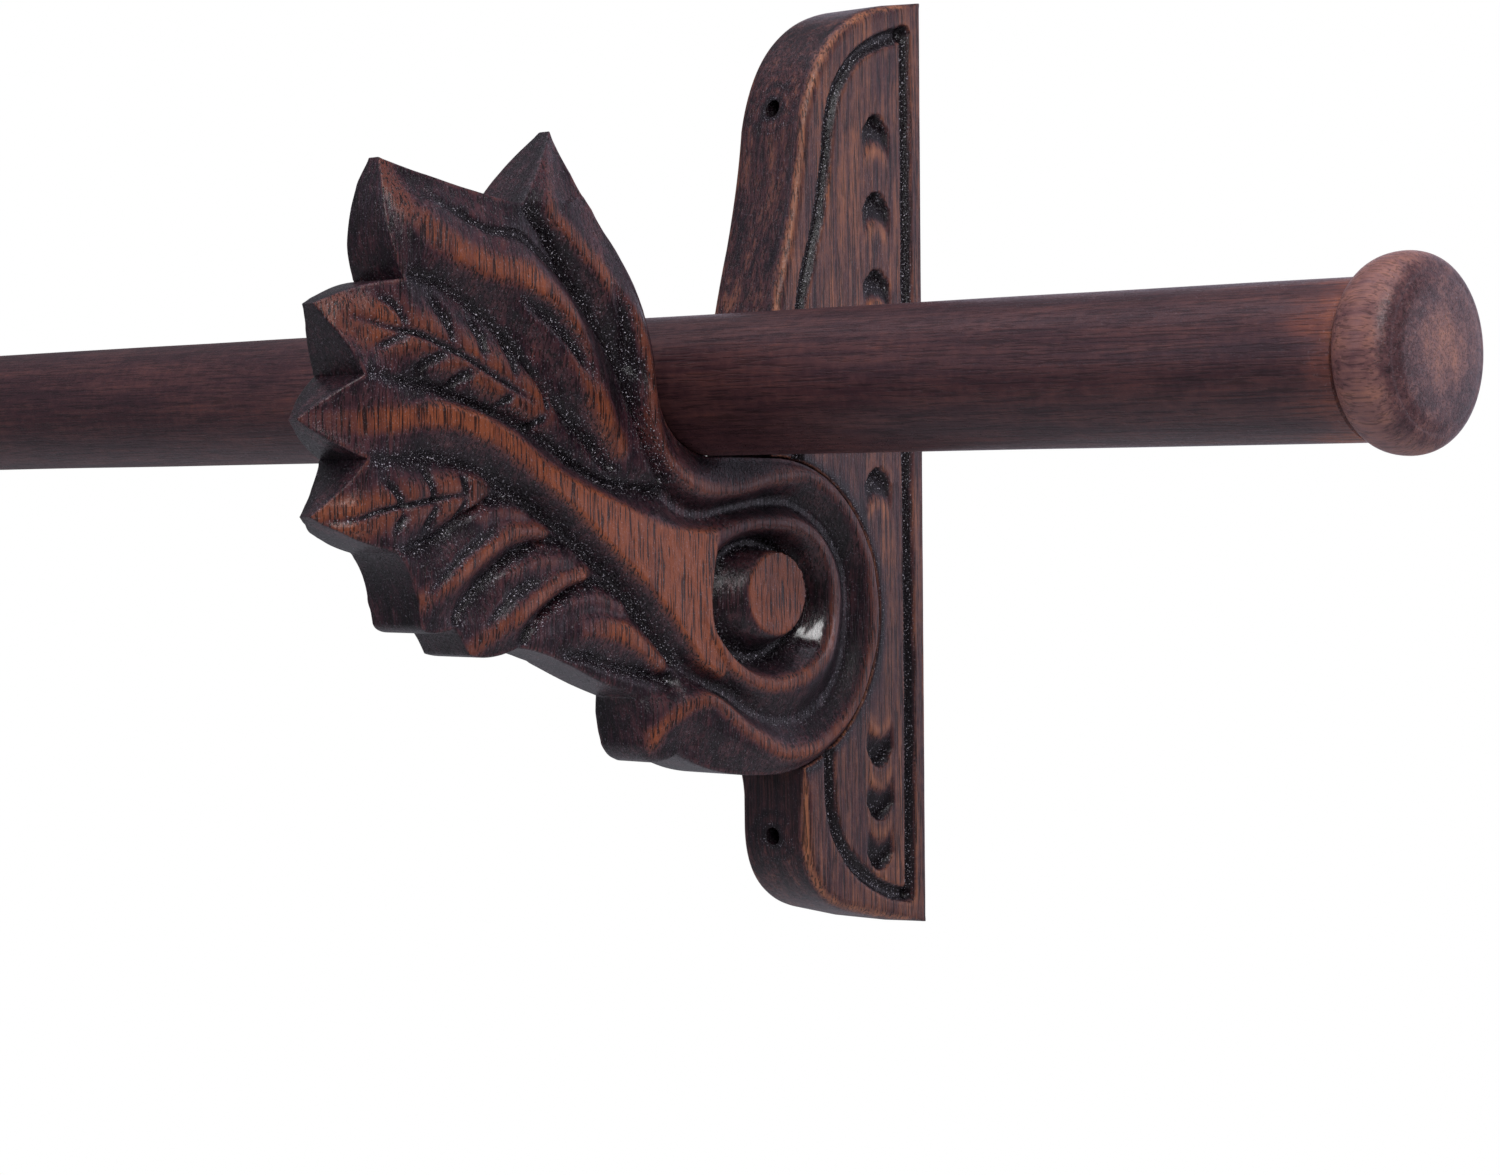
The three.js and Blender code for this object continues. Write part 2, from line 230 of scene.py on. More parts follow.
def arm_outline(spacing):
    cradle = ROD_RADIUS + GAP * 2
    floor = ROD_HEIGHT - ROD_RADIUS - CRADLE_CLEARANCE
    y, z = VOLUTE
    path = Outline((y, z + VOLUTE_RADIUS), 11, spacing)
    path.line((-ROD_FROM_WALL, floor), (11, 10.5))
    path.arc((-ROD_FROM_WALL, floor + cradle), cradle, -90, -180, (10.5, 10, 9.5))
    path.bend((-98.5, 40), (-112, 54), (9.5, 9, 8.5))
    for out, tip, back, notch, going, coming in LEAF_TIPS:
        path.bend(out, tip, going)
        path.bend(back, notch, coming)
    path.bend((-77, z - VOLUTE_RADIUS), (y, z - VOLUTE_RADIUS), (8, 9, 10.5))
    path.arc(VOLUTE, VOLUTE_RADIUS, -90, 90, (10.5, 11, 11, 11))
    return path.closed()


# Ridges of the carving: line, half thickness along it, half width of its flat, width of the worn band and
# wear along it. What changes along a line is given as pairs: share of the line's length, value there.
RIM = [
    (-125, 79.5), (-129, 71.5), (-132.6, 63.5), (-132, 58.5), (-128.5, 56), (-123.5, 51.5),
    (-117.5, 46), (-111.5, 39.5), (-106.5, 34), (-104, 27), (-102, 16), (-101.5, 10), (-98.5, 2.5),
    (-93, -2.5), (-87, -5.5), (-79.5, -6.5), (-70.5, -6), (-61.5, -4), (-54, -3), (-47, -3),
    (-40.5, -5.5), (-34, -10), (-28.5, -16.5), (-24, -25.5), (-22, -36.5), (-22.5, -45.5),
    (-25, -52.5), (-28.5, -60), (-34, -66), (-41.5, -71), (-48, -73), (-56, -73), (-63, -70),
    (-70.5, -66), (-76, -62), (-81.5, -58.5), (-86, -58.5), (-92, -61), (-97, -65), (-100.4, -70),
]
SECOND_RIDGE = [
    (-178.6, 69.2), (-177.8, 62.5), (-173.5, 56), (-166.5, 51.5), (-159.5, 48), (-152.5, 45.5),
    (-143.5, 44.5), (-136.5, 41), (-129.5, 35.5), (-125.5, 29), (-122, 21.5), (-118.5, 14),
    (-115, 8.5), (-111, 4),
]
STEM_CREST = [
    (-203.2, 9.9), (-197, 9.5), (-188.5, 9.5), (-179.5, 10), (-171, 11), (-162.5, 10.5), (-154, 8),
    (-145.5, 3.5), (-137, -2.5), (-128.5, -7), (-120, -11.5),
]
RING = [
    (-84.5, -34.5), (-82.3, -41.8), (-75.9, -49), (-68.6, -53.6), (-61.4, -55.5), (-54, -55),
    (-47.7, -53.2), (-41.4, -49), (-38.6, -42.7), (-37.3, -34.5), (-38.2, -28.2), (-41.4, -21.8),
    (-46.8, -17.3), (-54, -15.3), (-61.4, -15), (-68, -15.2), (-74, -16.4), (-80, -18.5),
]
SIXTH = [
    (-176, -33.5), (-168, -28.5), (-160.5, -24), (-153.5, -20), (-146, -16.5), (-138.5, -16), (-135, -17),
]
SEVENTH = [(-157, -43.2), (-151.5, -39.5), (-144.5, -36), (-137, -31.5), (-129.5, -28), (-122, -27)]
EIGHTH = [(-120.5, -40), (-114, -40), (-108.5, -41.5), (-102, -45), (-96, -49)]
THIRD_LEAF = [
    (-198.3, 35.9), (-190, 32.5), (-182, 31), (-173.5, 29.5), (-166, 27), (-159, 24.5), (-151.5, 21),
    (-144, 17.5), (-136, 13),
]
FIFTH_LEAF = [(-199.8, -12), (-190, -12.5), (-183, -10.5), (-170, -8.5), (-162.5, -7.5), (-157, -7)]
RIDGES = [
    (RIM, [(0, 1.8), (0.03, 6), (0.065, 10.5), (0.27, 14), (0.93, 14), (1, 8.6)], 0.5, 2.1,
     [(0, 0.25), (0.05, 0.4), (0.07, 0.8), (0.2, 0.85), (0.3, 0.62), (0.55, 0.62), (0.75, 0.85), (1, 0.8)]),
    (SECOND_RIDGE, [(0, 2), (0.08, 6.5), (0.16, 10), (0.5, 12.4), (0.9, 12.4), (1, 10.5)], 1.0, 3.0,
     [(0, 0.6), (0.2, 0.8), (1, 0.95)]),
    (STEM_CREST, [(0, 1.6), (0.12, 7), (0.45, 11), (0.8, 13), (1, 13.4)], 1.2, 2.5,
     [(0, 0.3), (0.1, 0.45), (0.25, 0.9), (1, 0.95)]),
    (RING, [(0, 13.5), (0.1, 14), (0.8, 14), (1, 12.6)], 0.7, 1.9,
     [(0, 0.9), (0.5, 0.9), (0.62, 0.6), (0.85, 0.5), (1, 0.3)]),
    (SIXTH, [(0, 8.8), (0.3, 11), (1, 9.6)], 0.5, 2.6, [(0, 0.85), (1, 0.75)]),
    ([(-155, -12.5), (-148, -11.5), (-140.5, -12.5)], [(0, 9), (1, 9)], 0.2, 2, [(0, 0.5), (1, 0.5)]),
    (SEVENTH, [(0, 8.2), (0.4, 11), (1, 9.6)], 0.5, 2.6, [(0, 0.75), (1, 0.85)]),
    ([(-146, -26), (-137, -23.5), (-127.5, -23.5)], [(0, 9), (1, 9.4)], 0.2, 2.2, [(0, 0.5), (1, 0.5)]),
    (EIGHTH, [(0, 9.5), (0.5, 10.8), (1, 9.5)], 0.6, 2.6, [(0, 0.55), (0.4, 0.9), (1, 0.85)]),
    ([(-137, -38), (-127.5, -34), (-118.5, -32.5), (-109.5, -35)], [(0, 8.6), (1, 9)], 0.2, 2.2,
     [(0, 0.4), (1, 0.4)]),
    # the two veined leaves are gently rounded over their whole width
    (THIRD_LEAF, [(0, 2), (0.08, 5), (0.2, 7.6), (0.42, 10), (1, 9.8)], 2.4, 4.6, [(0, 0.75), (1, 0.72)]),
    (FIFTH_LEAF, [(0, 2), (0.2, 7.5), (0.6, 9.8), (1, 9)], 2.6, 3.8, [(0, 0.75), (1, 0.72)]),
]
# The flat of the stem, between its upper edge, its root at the ring and its lower edge
STEM_UPPER = [
    (-138, -1), (-131, -4), (-124, -7), (-115, -10), (-106, -13.5), (-96.5, -16.5), (-89.5, -17.5),
    (-84, -17.6), (-80, -17.6),
]
STEM_ROOT = [(-81.5, -24), (-82.5, -34), (-81, -43), (-78.5, -50)]
STEM_LOWER = [
    (-78.5, -52), (-85, -48.5), (-89.5, -43), (-96.5, -35.5), (-106, -27), (-115, -20), (-124, -12.6),
    (-131, -8), (-138, -3.2),
]
STEM_HEIGHT = 13.4
STEM_WORN_BAND = 2.0
EYE = (-58, -32.6)
EYE_RADIUS = 10.2
EYE_HEIGHT = 13
EYE_WORN_BAND = 0.8

# Valleys of the carving: line, half thickness along it, half width of its flat, strength of the shade in it
CHANNEL = [
    (-96.8, -6.8), (-90, -11), (-82, -12.6), (-74, -11.4), (-64, -10), (-54, -9.4), (-46, -11.5),
    (-38, -17), (-32, -25), (-30, -34), (-30.8, -46), (-35, -56), (-43, -62.8), (-54, -65),
    (-65, -62.4), (-74, -57.4), (-83, -53.6), (-92.3, -48.2),
]
VALLEYS = [
    ([(-140.5, 61), (-133.6, 54.7), (-128.1, 47.4), (-117, 33.7), (-110.7, 25.4), (-106, 15.3),
      (-102.4, 6.1), (-96.8, -4)], [(0, 8.5), (0.15, 7), (0.8, 8), (1, 9)], 0, 1),
    ([(-177.5, 42), (-175.9, 42.9), (-164.8, 41.1), (-157.5, 37.3), (-150.1, 32.8), (-142.8, 27.2),
      (-135.5, 19.8), (-128.1, 12.5), (-119.8, 5.2), (-113.4, -0.4)], [(0, 9), (0.2, 6.6), (1, 8)], 0, 1),
    ([(-189.5, 20), (-186, 20.3), (-179.6, 18.9), (-170.4, 18), (-161.3, 15.3), (-152, 12.5),
      (-142.8, 9.7), (-133.6, 5.2), (-124.3, -0.4), (-115.2, -4.5), (-106, -5.9), (-96.8, -6.8)],
     [(0, 9.3), (0.15, 7), (0.6, 7.5), (1, 8.4)], 0, 1),
    ([(-188.5, 1), (-179.6, 0.6), (-170.4, 1.5), (-161.3, 0.1), (-152, -2.6), (-144.6, -6.8),
      (-137.3, -10.9), (-129, -16), (-119.8, -22.5), (-110.7, -29.7), (-101.5, -39), (-92.3, -48.2)],
     [(0, 8.8), (0.15, 6.8), (0.5, 7), (1, 8)], 0.3, 1),
    ([(-180, -20.4), (-174.1, -19.1), (-166.7, -16.9), (-161.3, -13.3), (-153.9, -9.5), (-146.5, -7.7)],
     [(0, 8.8), (0.3, 6.6), (1, 7.2)], 0, 1),
    ([(-162.5, -38.3), (-161.3, -34.3), (-152, -27), (-142.8, -21), (-133.6, -18.3), (-126.2, -18.7)],
     [(0, 8.2), (0.3, 6.4), (1, 7.2)], 0, 1),
    ([(-142, -43.5), (-138.2, -39), (-131.8, -34.3), (-124.3, -29.7), (-117, -28.4), (-112.5, -29.7)],
     [(0, 7.4), (0.3, 6.2), (1, 7.2)], 0, 1),
    ([(-128.1, -47), (-119.8, -46.3), (-110.7, -49.1), (-101.5, -51), (-93.2, -52.8)],
     [(0, 6.6), (1, 7)], 0, 1),
    (CHANNEL, [(0, 8.4), (0.1, 8.4), (0.28, 9.2), (0.45, 10.3), (0.75, 10.3), (0.9, 9.4), (1, 8.2)],
     1.0, 0.3),
]
EYE_GROOVE = ((-61.8, -34.2), (16.0, 14.4))  # centre and radii of an ellipse
EYE_GROOVE_FLAT = 0.9
EYE_GROOVE_HEIGHT = 5.6
POOL = (-43.6, -42.6)  # where varnish has gathered in the eye groove
POOL_SIZE = 4.6
POOL_HEIGHT = 7.2

# Cuts into the carving: line, half width, depth
CUTS = [
    ([(-168.5, 61.3), (-161.3, 58.1), (-152, 54.3), (-142.8, 53.4), (-136.4, 49.7), (-129, 45.6),
      (-123.5, 40.1)], 1.1, 1.3),
    ([(-141.9, 38.7), (-133.6, 34.5), (-127.2, 29), (-121.7, 22.7), (-119.8, 19.8)], 2.0, 2.8),
    ([(-112.6, 41), (-108.8, 34.4), (-107, 26.2), (-104.3, 19.8)], 1.9, 2.8),
    ([(-171, -29.5), (-164, -23.5), (-156.5, -18.5), (-149, -15.5)], 1.1, 1.2),
    ([(-153, -38), (-144, -30.5), (-134.5, -27)], 1.1, 1.2),
    ([(-190, 33), *THIRD_LEAF[2:8], (-138, 14.5)], 0.8, 1.3),
    ([(-183.5, 38), (-179, 35.5), (-176, 31)], 1.15, 1.3),
    ([(-169.5, 38), (-165, 33), (-162, 27)], 1.5, 1.7),
    ([(-157, 33.5), (-154, 29), (-153, 24.5)], 1.5, 1.6),
    ([(-146.5, 30), (-144, 25), (-143, 20)], 1.45, 1.5),
    ([(-134.5, 17), (-133, 12.5)], 1.1, 1.1),
    ([(-185, 26), (-176, 29.5)], 1.1, 1.2),
    ([(-174, 20.5), (-170, 23.5), (-164.5, 25.5)], 1.45, 1.5),
    ([(-164.5, 16.5), (-161, 19.5), (-156.5, 21.5)], 1.45, 1.5),
    ([(-149.5, 13), (-144.5, 16)], 1.1, 1.2),
    ([(-140.5, 8), (-134, 11)], 1.1, 1.2),
    ([(-197, -13.3), *FIFTH_LEAF[1:5], (-158, -7)], 0.7, 1.1),
    ([(-183.5, -3.5), (-180, -6.5), (-177.5, -10.5)], 1.2, 1.4),
    ([(-171.5, -1.5), (-169.5, -5.5), (-168.5, -9.5)], 1.2, 1.4),
    ([(-160, -2), (-158.5, -7.5)], 1.1, 1.2),
    ([(-180.5, -15.5), (-177, -11.5)], 1.15, 1.3),
    ([(-172, -15.5), (-167.5, -9.5)], 1.15, 1.3),
    ([(-162, -12.5), (-158.5, -8)], 0.8, 1),
]


def blended(found):
    """Distance to the nearest of several features, and their values averaged by nearness."""
    far = np.array([d for d, _ in found])
    value = np.array([v for _, v in found])
    weight = 1 / (far + 0.25) ** 4
    return far.min(0), (weight * value).sum(0) / weight.sum(0)


MEASURING_SPACING = 1.3
FEATURE_REACH = 24
CUT_REACH = 8
LAST_LEAF = (-100, -68)  # its edges are rounded over much more than the others
LAST_LEAF_REACH = 11
LAST_LEAF_ROUNDING = 2.6
ARM_ROUNDING = 0.6
FLANK_WEAR = 0.3  # how far the slopes just under a ridge are worn
SHADE_WIDTH = 1.9
RIM_SHADE = 0.55
RIM_SHADE_SHIFT = 1.5
CREASE_DEPTH = 0.8
CREASE_WIDTH = 0.9
ARRIS_WIDTH = 0.9
ARRIS_WEAR = 0.5


def carve(points):
    """The arm at each point of the side view: half thickness, wear, depth of shade and wet varnish."""
    outline, edge = arm_outline(MEASURING_SPACING)
    outline = np.vstack([outline, outline[:1]])
    rim_far, rim_edge = nearest(points, outline, np.append(edge, edge[0]))

    raised, wear = [], np.zeros(len(points))
    for line, profile, flat, band, worn in RIDGES:
        path = spline(line)
        far, height = nearest(points, path, heights_along(path, profile), FEATURE_REACH)
        _, strength = nearest(points, path, heights_along(path, worn), 2.5 * band)
        far = np.maximum(far - flat, 0)
        raised.append((far, height))
        wear = np.maximum(wear, strength * bell(far, band))
    stem = np.vstack([spline(STEM_UPPER), spline(STEM_ROOT), spline(STEM_LOWER)])
    far, _ = nearest(points, np.vstack([stem, stem[:1]]), None, FEATURE_REACH)
    far = np.where(inside(points, stem), 0, far)
    raised.append((far, np.full(len(points), STEM_HEIGHT)))
    wear = np.maximum(wear, bell(far, STEM_WORN_BAND))
    far = np.maximum(np.hypot(points[:, 0] - EYE[0], points[:, 1] - EYE[1]) - EYE_RADIUS, 0)
    raised.append((far, np.full(len(points), EYE_HEIGHT)))
    wear = np.maximum(wear, bell(far, EYE_WORN_BAND))

    sunk, crease = [(rim_far, rim_edge)], np.full(len(points), 1e3)
    # painted shade, partly gathered varnish: along the outline, in the valleys, in the eye groove and in
    # the cuts
    hollow = RIM_SHADE * bell(rim_far + RIM_SHADE_SHIFT, SHADE_WIDTH)
    for line, profile, flat, shade in VALLEYS:
        path = spline(line)
        far, height = nearest(points, path, heights_along(path, profile), FEATURE_REACH)
        if flat < 1:
            crease = np.minimum(crease, far)
        hollow = np.maximum(hollow, shade * bell(far, SHADE_WIDTH))
        sunk.append((np.maximum(far - flat, 0), height))
    far, _ = nearest(points, ellipse(*EYE_GROOVE), None, FEATURE_REACH)
    pool = np.exp(-(((points[:, 0] - POOL[0]) ** 2 + (points[:, 1] - POOL[1]) ** 2) / POOL_SIZE**2))
    eye_floor = EYE_GROOVE_HEIGHT + (POOL_HEIGHT - EYE_GROOVE_HEIGHT) * pool
    sunk.append((np.maximum(far - EYE_GROOVE_FLAT, 0), eye_floor))
    hollow = np.maximum(hollow, bell(far, SHADE_WIDTH))

    to_ridge, high = blended(raised)
    to_valley, low = blended(sunk)
    share = to_valley / (to_valley + to_ridge + 1e-6)
    crown = 0.5 * np.sin(share * math.pi / 2) + 0.5 * smooth(share, 0, 1)
    height = low + (high - low) * crown
    height -= CREASE_DEPTH * bell(crease, CREASE_WIDTH) * smooth(rim_far, 0, 3)

    wear = np.maximum(wear, FLANK_WEAR * (0.45 + 0.55 * share))
    for line, half, depth in CUTS:
        path = spline(line, 0.8)
        taper = heights_along(path, [(0, 0.35), (0.25, 1), (0.8, 1), (1, 0.3)])
        far, strength = nearest(points, path, taper, CUT_REACH)
        mark = strength * bell(far, half)
        height -= depth * mark
        hollow = np.maximum(hollow, mark)
        wear *= 1 - mark * 0.95
    arris = bell(rim_far, ARRIS_WIDTH)
    wear = np.maximum(wear, ARRIS_WEAR * arris)
    return height, wear, np.clip(hollow - arris, 0, 1), pool


# Boards that are carved on both sides


def inward(loop):
    """Unit vectors that point into a loop that runs anticlockwise."""
    ahead = np.roll(loop, -1, axis=0) - loop
    ahead /= np.linalg.norm(ahead, axis=1)[:, None]
    side = np.stack([-ahead[:, 1], ahead[:, 0]], 1)
    both = side + np.roll(side, 1, axis=0)
    return both / np.maximum(np.linalg.norm(both, axis=1), 1e-6)[:, None]


def eased(loop, into, rounding):
    """Rounding that shrinks near sharp corners, so that the rounded edge doesn't fold over itself."""
    for k in range(1, 10):
        for step in (k, -k):
            other, facing = np.roll(loop, step, axis=0), (into * np.roll(into, step, axis=0)).sum(1)
            gap = np.linalg.norm(loop - other, axis=1)
            rounding = np.where(facing < 0.35, np.minimum(rounding, 0.4 * gap), rounding)
    return rounding


def hex_grid(low, high, spacing):
    """Points in staggered rows, for nearly equal triangles."""
    rows = np.arange(low[1], high[1], spacing * math.sqrt(3) / 2)
    columns = np.arange(low[0], high[0], spacing)
    grid = [(y + (spacing / 2 if i % 2 else 0), z) for i, z in enumerate(rows) for y in columns]
    return np.array(grid)


def board(loop, rounding, surface, spacing, arris_rows, wall_rows):
    """A closed mesh in millimetres: two carved faces joined by an edge with rounded arrises.

    Also gives, for each vertex, the values of its point in the side view and its place round the edge,
    from 0 on a face to 1 on the flat of the edge.
    """
    into = inward(loop)
    rounding = eased(loop, into, rounding)
    inner = loop + into * rounding[:, None]
    grid = hex_grid(loop.min(0), loop.max(0), spacing)
    grid = grid[inside(grid, inner)]
    far, _ = nearest(grid, np.vstack([inner, inner[:1]]))
    grid = grid[far > spacing * 0.5]
    count = len(loop)
    flat = [Vector(p) for p in np.vstack([inner, grid])]
    ring = [(i, (i + 1) % count) for i in range(count)]
    keep_inside = 1
    made = delaunay_2d_cdt(flat, ring, [], keep_inside, 1e-6)
    points = np.array([tuple(p) for p in made[0]])
    came_from = {source: i for i, sources in enumerate(made[3]) for source in sources}
    rim = np.array([came_from[i] for i in range(count)])
    height, *values = surface(points)
    size = len(points)

    layers = [np.column_stack([height, points]), np.column_stack([-height, points])]
    sources, edge = [np.arange(size)] * 2, [np.zeros(size)] * 2
    faces = [tuple(f) for f in made[2]] + [tuple(size + i for i in reversed(f)) for f in made[2]]
    rows = []
    for k in range(1, arris_rows + 1):
        turn = k / arris_rows * math.pi / 2
        drop, inset = rounding * (1 - math.cos(turn)), rounding * (1 - math.sin(turn))
        rows.append((height[rim] - drop, inset, k / arris_rows))
    top = height[rim] - rounding
    half = rows + [(top * (1 - 2 * k / wall_rows), rounding * 0, 1) for k in range(1, wall_rows)]
    half += [(-x, inset, share) for x, inset, share in reversed(rows)]
    start, above = 2 * size, rim
    for x, inset, share in half:
        layers.append(np.column_stack([x, loop + into * np.asarray(inset)[:, None]]))
        sources.append(rim)
        edge.append(np.full(count, float(share)))
        below = start + np.arange(count)
        faces += ring_faces(above, below)
        above, start = below, start + count
    faces += ring_faces(above, size + rim)
    source = np.concatenate(sources)
    return np.vstack(layers), faces, [v[source] for v in values], np.concatenate(edge)


def ring_faces(above, below):
    following, under = np.roll(above, -1), np.roll(below, -1)
    return [tuple(map(int, f)) for f in zip(above, below, under, following)]


# Turned pieces


def turned(profile, segments, wobble=None):
    """A closed solid of revolution about X.

    The profile's pairs are radius and distance along X, and its first and last lie on the axis.
    """
    verts, faces = [(profile[0][1], 0, 0)], []
    rings = profile[1:-1]
    for radius, x in rings:
        for i in range(segments):
            turn = 2 * math.pi * i / segments
            r = radius + (wobble(x, turn, radius) if wobble else 0)
            verts.append((x, r * math.cos(turn), r * math.sin(turn)))
    verts.append((profile[-1][1], 0, 0))
    last = len(verts) - 1
    for i in range(segments):
        j = (i + 1) % segments
        faces.append((0, 1 + j, 1 + i))
        for k in range(len(rings) - 1):
            a, b = 1 + k * segments, 1 + (k + 1) * segments
            faces.append((a + i, a + j, b + j, b + i))
        base = 1 + (len(rings) - 1) * segments
        faces.append((last, base + i, base + j))
    return np.array(verts, float), faces


def along_y(verts):
    """Turns a piece made about X so that its +X end points along +Y."""
    return np.column_stack([-verts[:, 1], verts[:, 0], verts[:, 2]])


def bar(radius, start, end):
    return turned([(0, start), (radius, start), (radius, end), (0, end)], 40)


# Objects


def placed(name, data):
    made = bpy.data.objects.new(name, data)
    bpy.context.scene.collection.objects.link(made)
    return made


def piece(name, verts, faces, sharp=40):
    """A mesh object from millimetre coordinates, shaded smooth except over sharp edges."""
    mesh = bpy.data.meshes.new(name)
    mesh.from_pydata([tuple(v) for v in np.asarray(verts) * MM], [], faces)
    mesh.validate()
    made = placed(name, mesh)
    shade(made, sharp)
    return made


def shade(made, sharp):
    made.data.shade_smooth()
    made.data.set_sharp_from_angle(angle=math.radians(sharp))


def joined(parts):
    verts, faces, start = [], [], 0
    for v, f in parts:
        verts.append(v)
        faces += [tuple(start + i for i in face) for face in f]
        start += len(v)
    return np.vstack(verts), faces


def cut(made, cutters, sharp):
    """Subtracts closed shapes, given in millimetres, from an object."""
    tool = piece("cutter", *joined(cutters))
    step = made.modifiers.new("cut", "BOOLEAN")
    step.object = tool
    step.operation = "DIFFERENCE"
    step.solver = "MANIFOLD"
    bpy.context.view_layer.update()
    shape = bpy.data.meshes.new_from_object(made.evaluated_get(bpy.context.evaluated_depsgraph_get()))
    made.modifiers.clear()
    old = made.data
    made.data = shape
    bpy.data.meshes.remove(old)
    bpy.data.objects.remove(tool)
    shade(made, sharp)
    return made


def corners(made):
    co = np.zeros(len(made.data.vertices) * 3)
    made.data.vertices.foreach_get("co", co)
    return co.reshape(-1, 3) / MM


def paint(made, **values):
    """Stores one number for each vertex under each name, for the materials to read."""
    for name, value in values.items():
        layer = made.data.attributes.new(name, "FLOAT", "POINT")
        layer.data.foreach_set("value", np.clip(value, 0, 1).astype(np.float32))


def copy_at(made, name, x):
    other = made.copy()
    other.data = made.data.copy()
    other.name = other.data.name = name
    bpy.context.scene.collection.objects.link(other)
    other.data.transform(Matrix.Translation((x * MM, 0, 0)))
    return other


def finish_piece(made, body, material, slot, *nodes):
    made.data.materials.clear()
    made.data.materials.append(material)
    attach(made, body)
    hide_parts(*nodes)


# Wood


def linear(colour):
    """A hex colour as linear red, green, blue and alpha."""
    parts = [int(colour[i : i + 2], 16) / 255 for i in (0, 2, 4)]
    return [c / 12.92 if c <= 0.04045 else ((c + 0.055) / 1.055) ** 2.4 for c in parts] + [1]


class Graph:
    """Short names for building a node tree."""

    def __init__(self, name):
        self.material = bpy.data.materials.new(name)
        self.material.use_nodes = True
        self.tree = self.material.node_tree
        self.tree.nodes.clear()
        self.shader = self.node("BsdfPrincipled")
        self.node("OutputMaterial", {"Surface": self.shader.outputs["BSDF"]})

    def node(self, kind, inputs=None, **settings):
        made = self.tree.nodes.new("ShaderNode" + kind)
        for key, value in settings.items():
            setattr(made, key, value)
        for socket, value in (inputs or {}).items():
            self.feed(made.inputs[socket], value)
        return made

    def feed(self, socket, value):
        if isinstance(value, bpy.types.NodeSocket):
            self.tree.links.new(value, socket)
        else:
            socket.default_value = value

    def math(self, operation, a, b=0.0, c=0.0, clamp=False):
        return self.node("Math", {0: a, 1: b, 2: c}, operation=operation, use_clamp=clamp).outputs[0]

    def times(self, a, b):
        return self.math("MULTIPLY", a, b)

    def plus(self, total, value, factor, clamp=False):
        """Total plus value times factor."""
        return self.math("MULTIPLY_ADD", value, factor, total, clamp)

    def stretched(self, scale=(1.0, 1.0, 1.0)):
        """The object's own coordinates, scaled along each axis."""
        coordinates = self.node("TexCoord").outputs["Object"]
        return self.node("Mapping", {"Vector": coordinates, "Scale": scale}).outputs["Vector"]

    def noise(self, vector, scale, detail, roughness=0.55, distortion=0.0):
        inputs = {"Vector": vector, "Scale": scale, "Detail": detail}
        inputs.update({"Roughness": roughness, "Distortion": distortion})
        return self.node("TexNoise", inputs).outputs["Fac"]

    def remap(self, value, low, high, to_low=0.0, to_high=1.0):
        inputs = {0: value, 1: low, 2: high, 3: to_low, 4: to_high}
        return self.node("MapRange", inputs, interpolation_type="SMOOTHSTEP").outputs[0]

    def ramp(self, value, stops):
        made = self.node("ValToRGB", {"Fac": value})
        elements = made.color_ramp.elements
        while len(elements) < len(stops):
            elements.new(0.5)
        for element, (position, colour) in zip(elements, stops):
            element.position = position
            element.color = linear(colour)
        return made.outputs["Color"]

    def mix(self, share, a, b):
        return self.node("Mix", {"Factor": share, "A": a, "B": b}, data_type="RGBA").outputs["Result"]

    def bump(self, height, strength, distance):
        made = self.node("Bump", {"Strength": strength, "Distance": distance, "Height": height})
        self.feed(self.shader.inputs["Normal"], made.outputs["Normal"])

    def painted(self, name):
        return self.node("Attribute", attribute_name=name).outputs["Fac"]


PORE_COLOUR = "140b0d"
# the pale colour of the painted glints
PAINTED_GLINT_COLOUR = "e4dde8"
VARNISH_SPECULAR = 0.27


